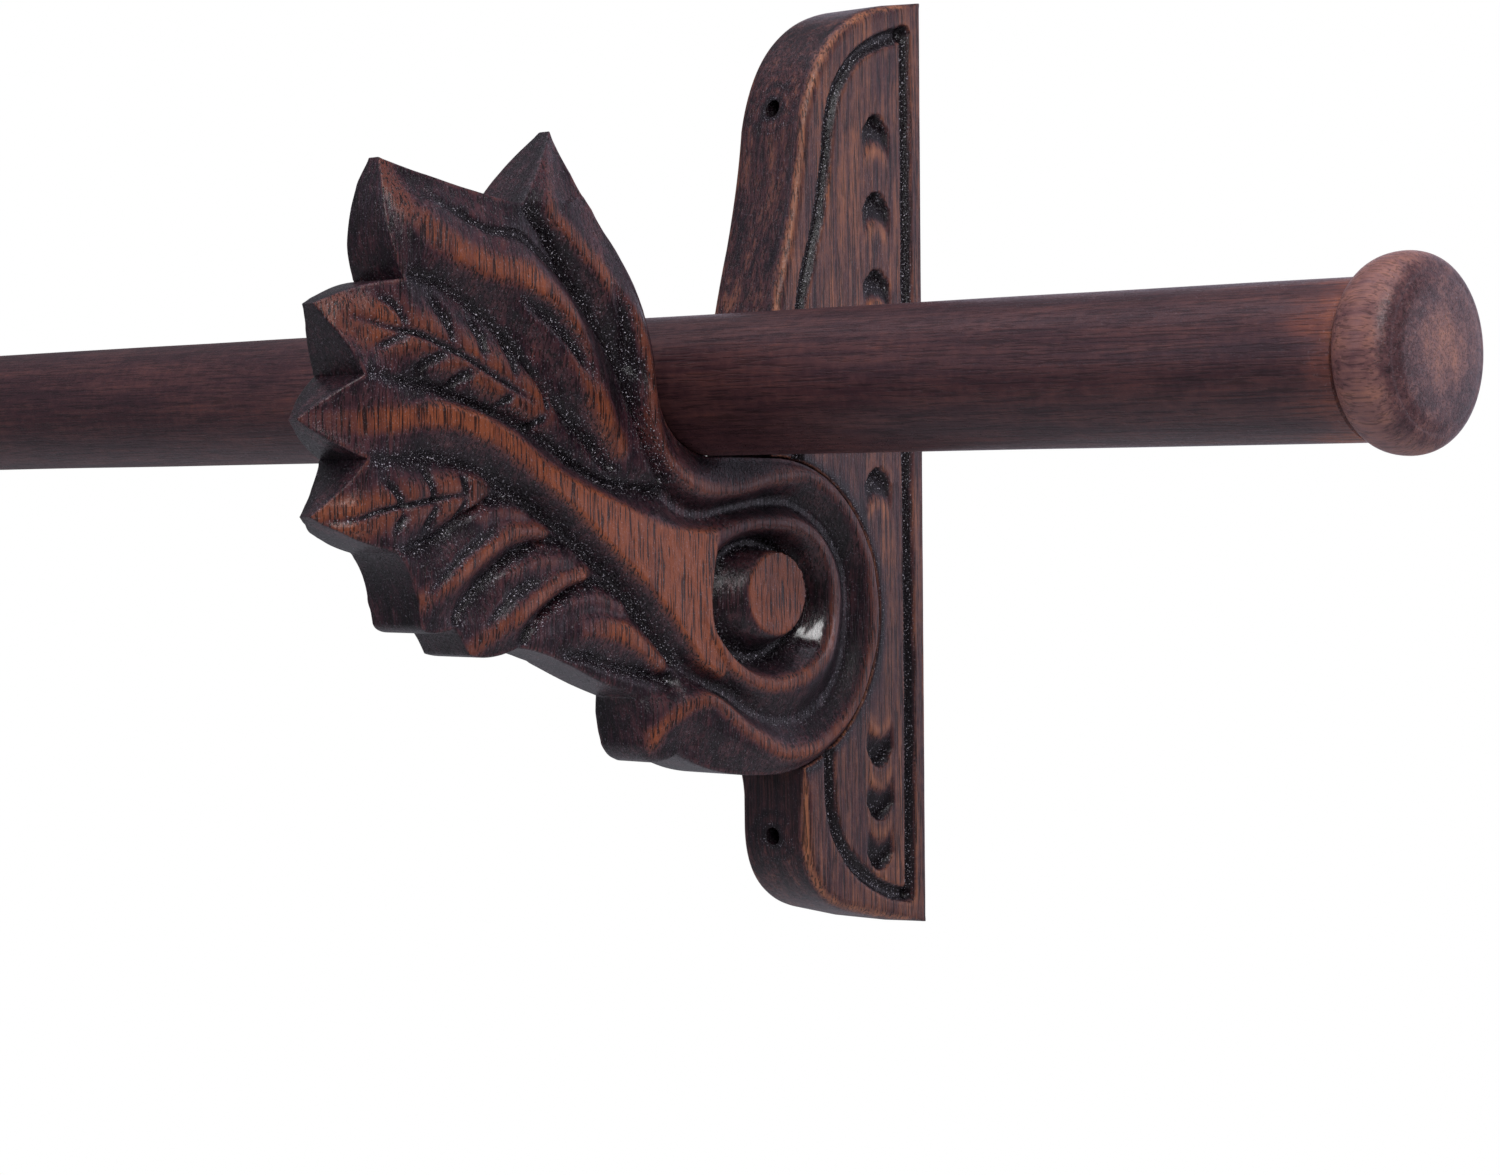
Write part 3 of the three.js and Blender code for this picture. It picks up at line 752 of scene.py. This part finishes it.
def varnished_wood(name, grain, stops, streak, pore, roughness, grit_and_glints, blotch):
    """Old varnish over wood: dark where it has gathered and where shade is painted into the hollows, worn
    back to the wood on what stands proud.

    The grain runs along the named axis. Streak, pore and blotch are the strengths of the grain's lines, of
    its pores and of uneven patches. Grit is the height in millimetres of the crumbs in the varnish, and
    also sets how strong the painted glints are.
    """
    g = Graph(name)

    def along(squeeze):
        return g.stretched([squeeze if axis == grain else 1.0 for axis in "XYZ"])

    even = g.stretched()
    fibres = g.noise(along(0.03), 1150, 4, 0.6, 0.3)
    bands = g.noise(along(0.05), 260, 3, 0.55, 0.6)
    pores = g.remap(g.noise(along(0.05), 2100, 2, 0.5), 0.52, 0.61)
    patches = g.noise(along(0.4), 60, 5, 0.65, 0.5)
    crumbs = g.noise(even, 1500, 3, 0.65)
    grains = g.noise(even, 420, 3, 0.6)
    specks = g.remap(g.noise(even, 2300, 2, 0.55), 0.63, 0.68)
    wear, hollow, wet = g.painted("wear"), g.painted("hollow"), g.painted("wet")

    def sway(value, amount, onto):
        return g.plus(onto, g.math("SUBTRACT", value, 0.5), amount)

    tone = sway(patches, blotch, wear)
    tone = sway(fibres, streak, tone)
    tone = sway(bands, streak, tone)
    tone = sway(grains, 0.4, tone)
    # gathered varnish and painted shade darken the hollows
    tone = g.plus(tone, hollow, -0.22, clamp=True)
    colour = g.ramp(tone, stops)
    colour = g.mix(g.times(pores, pore), colour, linear(PORE_COLOUR))
    # painted glints: pale specks mixed into the colour, more in the hollows, standing in for light
    # sparkling on crumbs
    painted_glint = g.times(specks, g.plus(grit_and_glints * 0.4, hollow, grit_and_glints * 2.4))
    colour = g.mix(painted_glint, colour, linear(PAINTED_GLINT_COLOUR))
    g.feed(g.shader.inputs["Base Color"], colour)

    # worn wood is duller, and gathered varnish and the wet pool are glossier
    rough = sway(crumbs, 0.3, roughness)
    rough = g.plus(rough, wear, 0.1)
    rough = g.plus(rough, specks, -0.2)
    rough = g.plus(rough, hollow, -0.08)
    rough = g.plus(rough, wet, -0.4)
    g.feed(g.shader.inputs["Roughness"], g.math("MAXIMUM", rough, 0.06))
    g.shader.inputs["Specular IOR Level"].default_value = VARNISH_SPECULAR
    g.feed(g.shader.inputs["Coat Weight"], g.plus(0.03, wet, 0.9))
    g.shader.inputs["Coat Roughness"].default_value = 0.1

    relief = g.times(fibres, 0.1)
    relief = g.plus(relief, pores, -0.12 * pore)
    dry = g.math("SUBTRACT", 1.0, wet)
    gritty = g.times(g.plus(grit_and_glints * 0.45, hollow, grit_and_glints * 0.6), crumbs)
    relief = g.plus(relief, gritty, dry)
    g.bump(relief, 1.0, MM)
    return g.material


# Colours from gathered varnish and painted shade to worn wood
CARVING_TONES = [
    (0.0, "0c050b"), (0.15, "21121a"), (0.35, "42262b"),
    (0.55, "542e2a"), (0.78, "663628"), (1.0, "80442b"),
]
PLATE_TONES = [
    (0.0, "0c050b"), (0.2, "1f1117"), (0.42, "422628"),
    (0.6, "5e3a32"), (0.8, "7c4c38"), (1.0, "965f42"),
]
ROD_TONES = [(0.0, "24161a"), (0.3, "372024"), (0.5, "4b2e2e"), (0.75, "633932"), (1.0, "864c34")]
CAP_TONES = [(0.0, "301d22"), (0.3, "54373a"), (0.55, "77524e"), (0.8, "8e6154"), (1.0, "9c6a58")]

carved_wood = varnished_wood("carved_varnish", "Z", CARVING_TONES, 0.55, 0.9, 0.3, 0.28, 0.9)
plate_wood = varnished_wood("plate_varnish", "Z", PLATE_TONES, 0.9, 0.75, 0.36, 0.2, 0.8)
rod_wood = varnished_wood("rod_varnish", "X", ROD_TONES, 0.6, 0.45, 0.4, 0.05, 0.6)
cap_wood = varnished_wood("cap_varnish", "X", CAP_TONES, 0.7, 0.4, 0.4, 0.06, 1.0)


def raw_wood(name):
    """Pale unfinished beech for the dowels."""
    g = Graph(name)
    fibres = g.noise(g.stretched(), 900, 4, 0.6)
    flecks = g.remap(g.noise(g.stretched((0.4, 0.4, 1.0)), 1500, 2, 0.5), 0.62, 0.7)
    colour = g.ramp(fibres, [(0.3, "b08a5c"), (0.7, "d0ab78")])
    colour = g.mix(g.times(flecks, 0.4), colour, linear("7a5632"))
    g.feed(g.shader.inputs["Base Color"], colour)
    g.feed(g.shader.inputs["Roughness"], g.remap(fibres, 0.2, 0.8, 0.55, 0.75))
    g.bump(fibres, 0.4, 0.2 * MM)
    return g.material


def screw_steel(name):
    """Zinc-plated steel with fine handling marks."""
    g = Graph(name)
    marks = g.noise(g.stretched(), 1400, 3, 0.6)
    g.feed(g.shader.inputs["Base Color"], g.ramp(marks, [(0.3, "8c8c88"), (0.7, "b4b3ad")]))
    g.feed(g.shader.inputs["Roughness"], g.remap(marks, 0.3, 0.7, 0.25, 0.45))
    g.shader.inputs["Metallic"].default_value = 1.0
    return g.material


dowel_wood = raw_wood("dowel_beech")
steel = screw_steel("zinc_plate")


# The carved arms

ARM_EDGE_WEAR = 0.12
BEHIND_ARM = -5  # where the arm's cutters end, clear of its back


def bore(radius, start, end, z):
    verts, faces = bar(radius, start, end)
    return along_y(verts) + [0, 0, z], faces


def dowel_bores(start, end):
    heights = [VOLUTE[1] + side * ARM_DOWEL_OFFSET for side in (-1, 1)]
    return [bore(ARM_DOWEL_RADIUS + GAP, start, end, height) for height in heights]


def arm_shape():
    loop, _ = arm_outline(ARM_SPACING)

    def surface(points):
        height, *values = carve(points)
        return [height + 0.16 * ripple(points, 7, 3) + 0.07 * ripple(points, 2.6, 8), *values]

    y, z = LAST_LEAF
    from_leaf = (loop[:, 0] - y) ** 2 + (loop[:, 1] - z) ** 2
    rounding = ARM_ROUNDING + LAST_LEAF_ROUNDING * np.exp(-(from_leaf / LAST_LEAF_REACH**2))
    verts, faces, values, edge = board(loop, rounding, surface, ARM_SPACING, 3, 7)
    made = piece("arm_pattern", verts, faces, ARM_SHARP)
    wear, hollow, wet = values
    on_face = 1 - smooth(edge, 0.4, 1)
    paint(
        made,
        wear=ARM_EDGE_WEAR + (wear - ARM_EDGE_WEAR) * on_face,
        hollow=hollow * on_face,
        wet=wet * on_face,
    )
    bores = [bore(SCREW_RADIUS + GAP, -SCREW_REACH - 2, BEHIND_ARM, VOLUTE[1])]
    return cut(made, bores + dowel_bores(ARM_DOWEL_SPAN[0] - GAP, BEHIND_ARM), ARM_SHARP)


# The wall plates


def plate_outline(spacing):
    """The plate in side view, with the rounding of its arris as the value along it."""
    seat = VOLUTE_RADIUS + GAP
    wide, slim, seat_round = 2.8, 0.6, 1.0
    top_turn = math.degrees(math.acos((PLATE_FRONT - VOLUTE[0]) / seat))
    low_turn = -math.degrees(math.acos((PLATE_LOWER_FRONT - VOLUTE[0]) / seat))
    top = (PLATE_FRONT, VOLUTE[1] + seat * math.sin(math.radians(top_turn)))
    path = Outline((0, -HALF_PLATE), slim, spacing)
    path.line((0, HALF_PLATE), (slim, slim))
    path.line((-12, 119.5), (slim, wide))
    path.bend((-40, 115), (-46, 86), (wide, wide))
    path.bend((-47.5, 72), (-52, 55), (wide, wide))
    path.bend((-55.5, 43.5), (PLATE_FRONT, 30), (wide, wide))
    path.line(top, (wide, wide, wide, seat_round))
    path.arc(VOLUTE, seat, top_turn, low_turn, (seat_round, seat_round))
    path.line((PLATE_LOWER_FRONT, -93), (seat_round, wide, wide))
    path.bend((PLATE_LOWER_FRONT, -111), (-30, -115.7), (wide, wide))
    path.line((-13.5, -119.5), (wide, wide))
    path.line((0, -HALF_PLATE), (wide, slim))
    return path.closed()


# How far out along Y the plate's cutters start and end, clear of the wood
BEYOND_FRONT = -75
BEYOND_BACK = 5
SCREW_BORE_START = -30
DOWEL_BORE_START = -50
# The border groove on each face: along the bowed front, along the back, and round the foot
GROOVES = [
    [(-48.9, -1), (-48.9, 20), (-48.3, 32), (-46, 44.8), (-43, 54.4), (-40, 64), (-37.4, 77),
     (-36.1, 86.6), (-33.5, 95), (-28.6, 101.7), (-22.6, 106.7), (-15.3, 110), (-6.6, 112.6)],
    [(-6.4, 112.6), (-6.2, 60), (-6.4, 0), (-6.2, -60), (-6.4, -113.4)],
    [(-37.6, -74), (-37.5, -83.6), (-36.6, -90), (-33.8, -96.8), (-29, -103), (-22.2, -108.1),
     (-14.4, -111.7), (-6.4, -113.4)],
]
GROOVE_HALF_WIDTH = 1.75
GROOVE_DEPTH = 1.9
GROOVE_WALL = 0.9
GROOVE_EDGE_WEAR = 0.14
GROOVE_EDGE_WIDTH = 3
PLATE_WEAR = 0.55
PLATE_EDGE_WEAR = 0.34
SEAT_SHADE = 0.8
SEAT_SHADE_WIDTH = 2.4
# Gouge cuts: a steep curved crown and a bed that slopes out towards the volute
GOUGE_CENTRE = -18
GOUGE_HALF_WIDTH = 5
GOUGE_LENGTH = 8.4
GOUGE_ARCH = 4.2
GOUGE_DEPTH = 2.8
GOUGE_CROWNS = (90.5, 70.5, 50.5, -1, -79, -93, -106)


def plate_surface(points):
    """The plate at each point of the side view: half thickness, wear and depth of shade."""
    height = HALF_PLATE_THICKNESS + 0.05 * ripple(points, 12, 4)
    wear = PLATE_WEAR + 0.1 * ripple(points, 14, 2)
    # painted shade, partly gathered varnish, in the border grooves and the gouges
    hollow = np.zeros(len(points))
    wander = 0.3 * ripple(points, 9, 5)
    for line in GROOVES:
        far, _ = nearest(points, spline(line, 1.5), None, CUT_REACH)
        mark = smooth(GROOVE_HALF_WIDTH + GROOVE_WALL / 2 + wander - far, 0, GROOVE_WALL)
        height -= GROOVE_DEPTH * mark * (1 - 0.4 * np.clip(far / GROOVE_HALF_WIDTH, 0, 1) ** 2)
        wear = (wear + GROOVE_EDGE_WEAR * bell(far, GROOVE_EDGE_WIDTH)) * (1 - mark)
        hollow = np.maximum(hollow, mark)
    # painted shade round the seat of the volute, where the arm meets the plate
    seat = np.abs(np.hypot(points[:, 0] - VOLUTE[0], points[:, 1] - VOLUTE[1]) - VOLUTE_RADIUS)
    painted_seat_shade = SEAT_SHADE * bell(seat, SEAT_SHADE_WIDTH)
    wear *= 1 - painted_seat_shade
    hollow = np.maximum(hollow, painted_seat_shade)
    across = (points[:, 0] - GOUGE_CENTRE) / GOUGE_HALF_WIDTH
    for crown in GOUGE_CROWNS:
        down = -1 if crown > VOLUTE[1] else 1
        run = (down * (points[:, 1] - crown) - GOUGE_ARCH * across**2) / GOUGE_LENGTH
        bed = smooth(run, -0.02, 0.12) * np.clip(1 - run, 0, 1)
        bed *= np.sqrt(np.clip(1 - across**2, 0, 1))
        height -= GOUGE_DEPTH * bed
        wear *= 1 - smooth(bed, 0.04, 0.4)
        lip = bell(run - 1.15, 0.22) * smooth(1.05 - np.abs(across), 0, 0.35)
        wear += 0.28 * lip
        hollow = np.maximum(hollow, 0.85 * smooth(bed, 0.1, 0.6))
    return height, wear, hollow


def plate_shape():
    loop, rounding = plate_outline(PLATE_SPACING)
    verts, faces, values, edge = board(loop, rounding, plate_surface, PLATE_SPACING, 5, 9)
    made = piece("plate_pattern", verts, faces, PLATE_SHARP)
    wear, hollow = values
    rings = np.zeros(len(verts))
    for level in WALL_HOLE_HEIGHTS:
        away = np.hypot(verts[:, 0], verts[:, 2] - level)
        rings = np.maximum(rings, bell(np.maximum(away - WALL_HOLE_RADIUS, 0), 1.3))
        rings = np.maximum(rings, 0.5 * bell(away - 6.3, 0.8))
    front = smooth(-verts[:, 1], 3, 8)
    arris = np.sin(math.pi * np.clip(edge, 0, 1)) * front
    edge_wear = PLATE_EDGE_WEAR - 0.3 * rings * front
    worn = np.maximum(wear + (edge_wear - wear) * smooth(edge, 0.2, 0.9), 0.85 * arris)
    hollow = np.maximum(hollow * (1 - edge), 0.7 * rings * front * edge)
    paint(made, wear=worn, hollow=hollow, wet=0 * edge)
    holes = [bore(WALL_HOLE_RADIUS, BEYOND_FRONT, BEYOND_BACK, height) for height in WALL_HOLE_HEIGHTS]
    holes.append(bore(SCREW_RADIUS + GAP, SCREW_BORE_START, BEYOND_BACK, VOLUTE[1]))
    cut(made, holes + dowel_bores(DOWEL_BORE_START, ARM_DOWEL_SPAN[1] + GAP), PLATE_SHARP)
    return cut(made, [bore(SCREW_HEAD + GAP, -SCREW_RECESS, BEYOND_BACK, VOLUTE[1])], PLATE_SHARP)


arm, plate = arm_shape(), plate_shape()
for side, x in BRACKETS:
    carved = copy_at(arm, f"carved_leaf_{side}", x)
    finish_piece(carved, "brackets", carved_wood, "carved_wood", f"{side}_carved_arm")
    flat = copy_at(plate, f"shaped_plate_{side}", x)
    finish_piece(flat, "brackets", plate_wood, "plate_wood", f"{side}_wall_plate")
for pattern in (arm, plate):
    bpy.data.objects.remove(pattern)


# Dowels and screws


def fluted_dowel(radius, start, end):
    flutes, segments = 18, 108
    bevel = 0.8

    def groove(x, turn, r):
        return -0.28 * max(0, math.cos(flutes * turn)) ** 2 if r > radius * 0.6 else 0

    profile = [(0, start), (radius * 0.4, start), (radius - bevel, start), (radius, start + bevel)]
    profile += [(radius, end - bevel), (radius - bevel, end), (radius * 0.4, end), (0, end)]
    return turned(profile, segments, groove)


SCREW_BACK = -SCREW_RECESS + GAP + SCREW_HEAD_HEIGHT


def wood_screw():
    """A countersunk screw about X with its head at the +X end."""
    back = SCREW_BACK
    pitch, core = 2.2, 1.7
    shank_end = back - 18
    point = -SCREW_REACH

    def thread(x, turn, r):
        """How far the thread stands out, fading at both ends."""
        if x > shank_end or r < 0.3:
            return 0
        phase = (x / pitch - turn / (2 * math.pi)) % 1
        crest = max(0, 1 - abs(phase - 0.5) * 4.5)
        fade = min(1, (x - point) / 10, (shank_end - x) / 3)
        return max(0, fade) * crest * (SCREW_RADIUS - core - 0.05)

    profile = [(0, back), (SCREW_HEAD - 0.4, back), (SCREW_HEAD, back - 0.3), (SCREW_HEAD, back - 0.8)]
    shank = SCREW_RADIUS * 0.95
    profile += [(shank, back - 3.2), (shank, shank_end + 0.4), (core, shank_end)]
    x = shank_end
    while x > point + 0.5:
        x -= 0.22
        profile.append((core * min(1, 0.12 + (x - point) / 8), x))
    profile.append((0, point))
    return turned(list(reversed(profile)), 36, thread)


def cross_recess():
    """Two crossed boxes, for the slots in the screw's head."""
    arms = []
    for wide, tall in ((5.4, 1.1), (1.1, 5.4)):
        y0, y1 = SCREW_BACK - 2.2, SCREW_BACK + 1
        square = [(sx * wide / 2, sz * tall / 2) for sx, sz in ((-1, -1), (1, -1), (1, 1), (-1, 1))]
        box = [(x, y, z) for y in (y0, y1) for x, z in square]
        faces = [(0, 1, 2, 3), (7, 6, 5, 4), (0, 4, 5, 1), (1, 5, 6, 2), (2, 6, 7, 3), (3, 7, 4, 0)]
        arms.append((np.array(box, float) + [0, 0, VOLUTE[1]], faces))
    return arms


arm_dowel = fluted_dowel(ARM_DOWEL_RADIUS, *ARM_DOWEL_SPAN)
screw = wood_screw()
for side, x in BRACKETS:
    for level, sign in (("upper", 1), ("lower", -1)):
        place = [x, 0, VOLUTE[1] + sign * ARM_DOWEL_OFFSET]
        made = piece(f"fluted_dowel_{level}_{side}", along_y(arm_dowel[0]) + place, arm_dowel[1], 30)
        finish_piece(made, "brackets", dowel_wood, "dowel_wood", f"{side}_{level}_arm_dowel")
    made = piece(f"wood_screw_{side}", along_y(screw[0]) + [0, 0, VOLUTE[1]], screw[1], 35)
    for arm_of_cross in cross_recess():
        cut(made, [arm_of_cross], 35)
    made.data.transform(Matrix.Translation((x * MM, 0, 0)))
    finish_piece(made, "brackets", steel, "screw_steel", f"{side}_arm_screw")


# The rod and its caps

ROD_WEAR = 0.38
CAP_WEAR = 0.62
END_SHADE_WIDTH = 0.9
CAP_DOME = 1.6
CAP_ROUNDING = 4.6
# The gently domed face: radius of a ring and its rise above the rounded edge
CAP_FACE = ((15.8, 0.357), (14, 0.663), (11, 0.969), (7.5, 1.173), (4, 1.275))


def rod_shape():
    end, bevel = ROD_LENGTH / 2, 0.8
    mouth = end - 0.01
    hole = CAP_DOWEL_RADIUS + GAP
    depth = end - CAP_DOWEL_IN_ROD - GAP
    body = np.linspace(-end + bevel, end - bevel, 160)
    profile = [(0, -depth), (hole * 0.5, -depth), (hole, -depth), (hole, -mouth)]
    profile.append((ROD_RADIUS - bevel, -end))
    profile += [(ROD_RADIUS, x) for x in body]
    profile += [(ROD_RADIUS - bevel, end), (hole, mouth), (hole, depth), (hole * 0.5, depth), (0, depth)]

    def worked(x, turn, r):
        if r < ROD_RADIUS:
            return 0
        place = Vector((x / 45, 1.3 * math.cos(turn), 1.3 * math.sin(turn)))
        return 0.07 * noise.noise(place) - 0.03

    return turned(profile, 112, worked)


def cap_outside():
    """A cap along X, swelling out of the rod's width and rounding over into its face."""
    swell, rounding = CAP_LENGTH / 2 - GAP, CAP_LENGTH / 2 - CAP_DOME
    flare = CAP_RADIUS - ROD_RADIUS
    profile = [(0, GAP), (ROD_RADIUS * 0.5, GAP), (ROD_RADIUS - 0.5, GAP), (ROD_RADIUS - 0.2, GAP + 0.15)]
    for i in range(1, 15):
        turn = i / 14 * math.pi / 2
        profile.append((ROD_RADIUS + flare * math.sin(turn), GAP + swell * (1 - math.cos(turn))))
    for i in range(1, 17):
        turn = i / 16 * math.pi / 2
        inset = CAP_ROUNDING * (1 - math.cos(turn))
        profile.append((CAP_RADIUS - inset, GAP + swell + rounding * math.sin(turn)))
    for radius, rise in CAP_FACE:
        profile.append((radius, CAP_LENGTH - CAP_DOME + GAP + rise))
    profile.append((0, CAP_LENGTH))

    def worked(x, turn, r):
        place = Vector((x / 9 + 4, 1.6 * math.cos(turn), 1.6 * math.sin(turn)))
        return 0.12 * noise.noise(place) * min(1, r / 6) - 0.05

    return turned(profile, 120, worked)


axis = [0, -ROD_FROM_WALL, ROD_HEIGHT]
rod_verts, rod_faces = rod_shape()
rod = piece("turned_rod", rod_verts + axis, rod_faces, 35)
co = corners(rod)
from_end = ROD_LENGTH / 2 - np.abs(co[:, 0])
ends = smooth(11 + 7 * ripple(co[:, 1:], 6, 1) - from_end, 0, 8)
# painted shade at the rod's ends, where the caps meet it
paint(rod, wear=ROD_WEAR + 0.5 * ends, hollow=bell(from_end, END_SHADE_WIDTH), wet=0 * ends)
finish_piece(rod, "rod", rod_wood, "rod_wood", "rod")

for side, direction in (("left", -1), ("right", 1)):
    verts, faces = cap_outside()
    made = piece(f"turned_cap_{side}", verts + [0, 0, CAP_RISE], faces, 50)
    cut(made, [bar(CAP_DOWEL_RADIUS + GAP, -3, CAP_DOWEL_IN_CAP + GAP)], 50)
    co = corners(made)
    radius = np.hypot(co[:, 1], co[:, 2] - CAP_RISE)
    face = smooth(co[:, 0], CAP_LENGTH - 4.5, CAP_LENGTH - 1.5)
    centre = face * smooth(10.5 + 2 * ripple(co[:, 1:], 8, 7) - radius, 0, 4)
    # darker round the face, and painted shade where the cap meets the rod
    paint(
        made,
        wear=CAP_WEAR - 0.28 * face + 0.3 * centre,
        hollow=0.35 * face * (1 - centre) + bell(co[:, 0], END_SHADE_WIDTH),
        wet=0 * face,
    )
    turn = Matrix.Rotation(math.pi if direction < 0 else 0, 4, "Z")
    place = Matrix.Translation([direction * ROD_LENGTH / 2 * MM, axis[1] * MM, axis[2] * MM])
    made.data.transform(place @ turn)
    finish_piece(made, f"{side}_cap", cap_wood, "cap_wood", f"{side}_cap")
    verts, faces = fluted_dowel(CAP_DOWEL_RADIUS, -CAP_DOWEL_IN_ROD, CAP_DOWEL_IN_CAP)
    pin = piece(f"fluted_dowel_cap_{side}", verts, faces, 30)
    pin.data.transform(place @ turn)
    finish_piece(pin, f"{side}_cap", dowel_wood, "dowel_wood", f"{side}_cap_dowel")


# Camera, light and floor


def camera_at(place, yaw, pitch, roll, lens):
    """Yaw turns from +Y towards -X, pitch is upwards, and roll leans the camera clockwise."""
    turn = Matrix.Identity(4)
    for angle, axis_name in ((yaw, "Z"), (90 + pitch, "X"), (-roll, "Z")):
        turn = turn @ Matrix.Rotation(math.radians(angle), 4, axis_name)
    made = placed("camera", bpy.data.cameras.new("camera"))
    made.data.lens = lens
    made.data.sensor_width = 36
    made.matrix_world = Matrix.Translation(Vector(place) * MM) @ turn
    bpy.context.scene.camera = made


CAMERA_PLACE = (1018.1, -702.3, -8.2)
camera_at(CAMERA_PLACE, yaw=43.43, pitch=-1.49, roll=0.49, lens=84)

SOFT_WHITE = "f4eeff"
COOL_WHITE = "ece6ff"


def softbox(name, place, target, size, power, colour="ffffff"):
    """A rectangular lamp in metres and watts that faces its target."""
    lamp = bpy.data.lights.new(name, "AREA")
    lamp.shape = "RECTANGLE"
    lamp.size, lamp.size_y = size
    lamp.energy = power
    lamp.color = linear(colour)[:3]
    made = placed(name, lamp)
    made.location = place
    made.rotation_mode = "QUATERNION"
    made.rotation_quaternion = (Vector(target) - Vector(place)).to_track_quat("-Z", "Y")
    made.visible_camera = False


softbox("top_softbox", (0.3, -0.3, 1.7), (0.2, -0.1, 0), (2.6, 1.4), 20, SOFT_WHITE)
softbox("key_softbox", (1.9, -1.1, 1.3), (0.3, -0.1, 0), (1.1, 1.1), 38)
softbox("left_softbox", (-0.6, -2.2, 0.9), (0.3, -0.1, 0), (1.0, 1.4), 11, COOL_WHITE)
softbox("right_softbox", (1.9, 1.45, 0.1), (0.4, -0.1, 0), (0.6, 0.6), 3.5, SOFT_WHITE)
softbox("wall_bounce", (0.3, 1.5, 0.3), (0.3, 0, 0), (3.2, 1.8), 15, COOL_WHITE)

FLOOR_LEVEL = -1.2
FLOOR_HALF = 2.2
floor_mesh = bpy.data.meshes.new("floor")
floor_mesh.from_pydata(
    [(sx * FLOOR_HALF, sy * FLOOR_HALF, FLOOR_LEVEL) for sx, sy in ((-1, -1), (1, -1), (1, 1), (-1, 1))],
    [],
    [(0, 1, 2, 3)],
)
floor = placed("floor", floor_mesh)
pale = Graph("pale_floor")
pale.feed(
    pale.shader.inputs["Base Color"],
    pale.ramp(pale.noise(pale.stretched(), 6, 3), [(0.3, "f4f4f4"), (0.7, "f8f8f8")]),
)
pale.shader.inputs["Roughness"].default_value = 0.9
floor_mesh.materials.append(pale.material)

# The room lights the rod dimly from all round, and is plain white where the camera sees it
AMBIENT_STRENGTH = 0.21
world = bpy.data.worlds.new("white_room")
bpy.context.scene.world = world
world.use_nodes = True
tree = world.node_tree
sky = tree.nodes["Background"]
seen = tree.nodes.new("ShaderNodeBackground")
either = tree.nodes.new("ShaderNodeMixShader")
rays = tree.nodes.new("ShaderNodeLightPath")
sky.inputs["Color"].default_value = linear("f2f4ff")
sky.inputs["Strength"].default_value = AMBIENT_STRENGTH
seen.inputs["Color"].default_value = (1, 1, 1, 1)
seen.inputs["Strength"].default_value = 1.0
tree.links.new(rays.outputs["Is Camera Ray"], either.inputs["Fac"])
tree.links.new(sky.outputs["Background"], either.inputs[1])
tree.links.new(seen.outputs["Background"], either.inputs[2])
tree.links.new(either.outputs["Shader"], tree.nodes["World Output"].inputs["Surface"])
bpy.context.scene.view_settings.view_transform = "Standard"
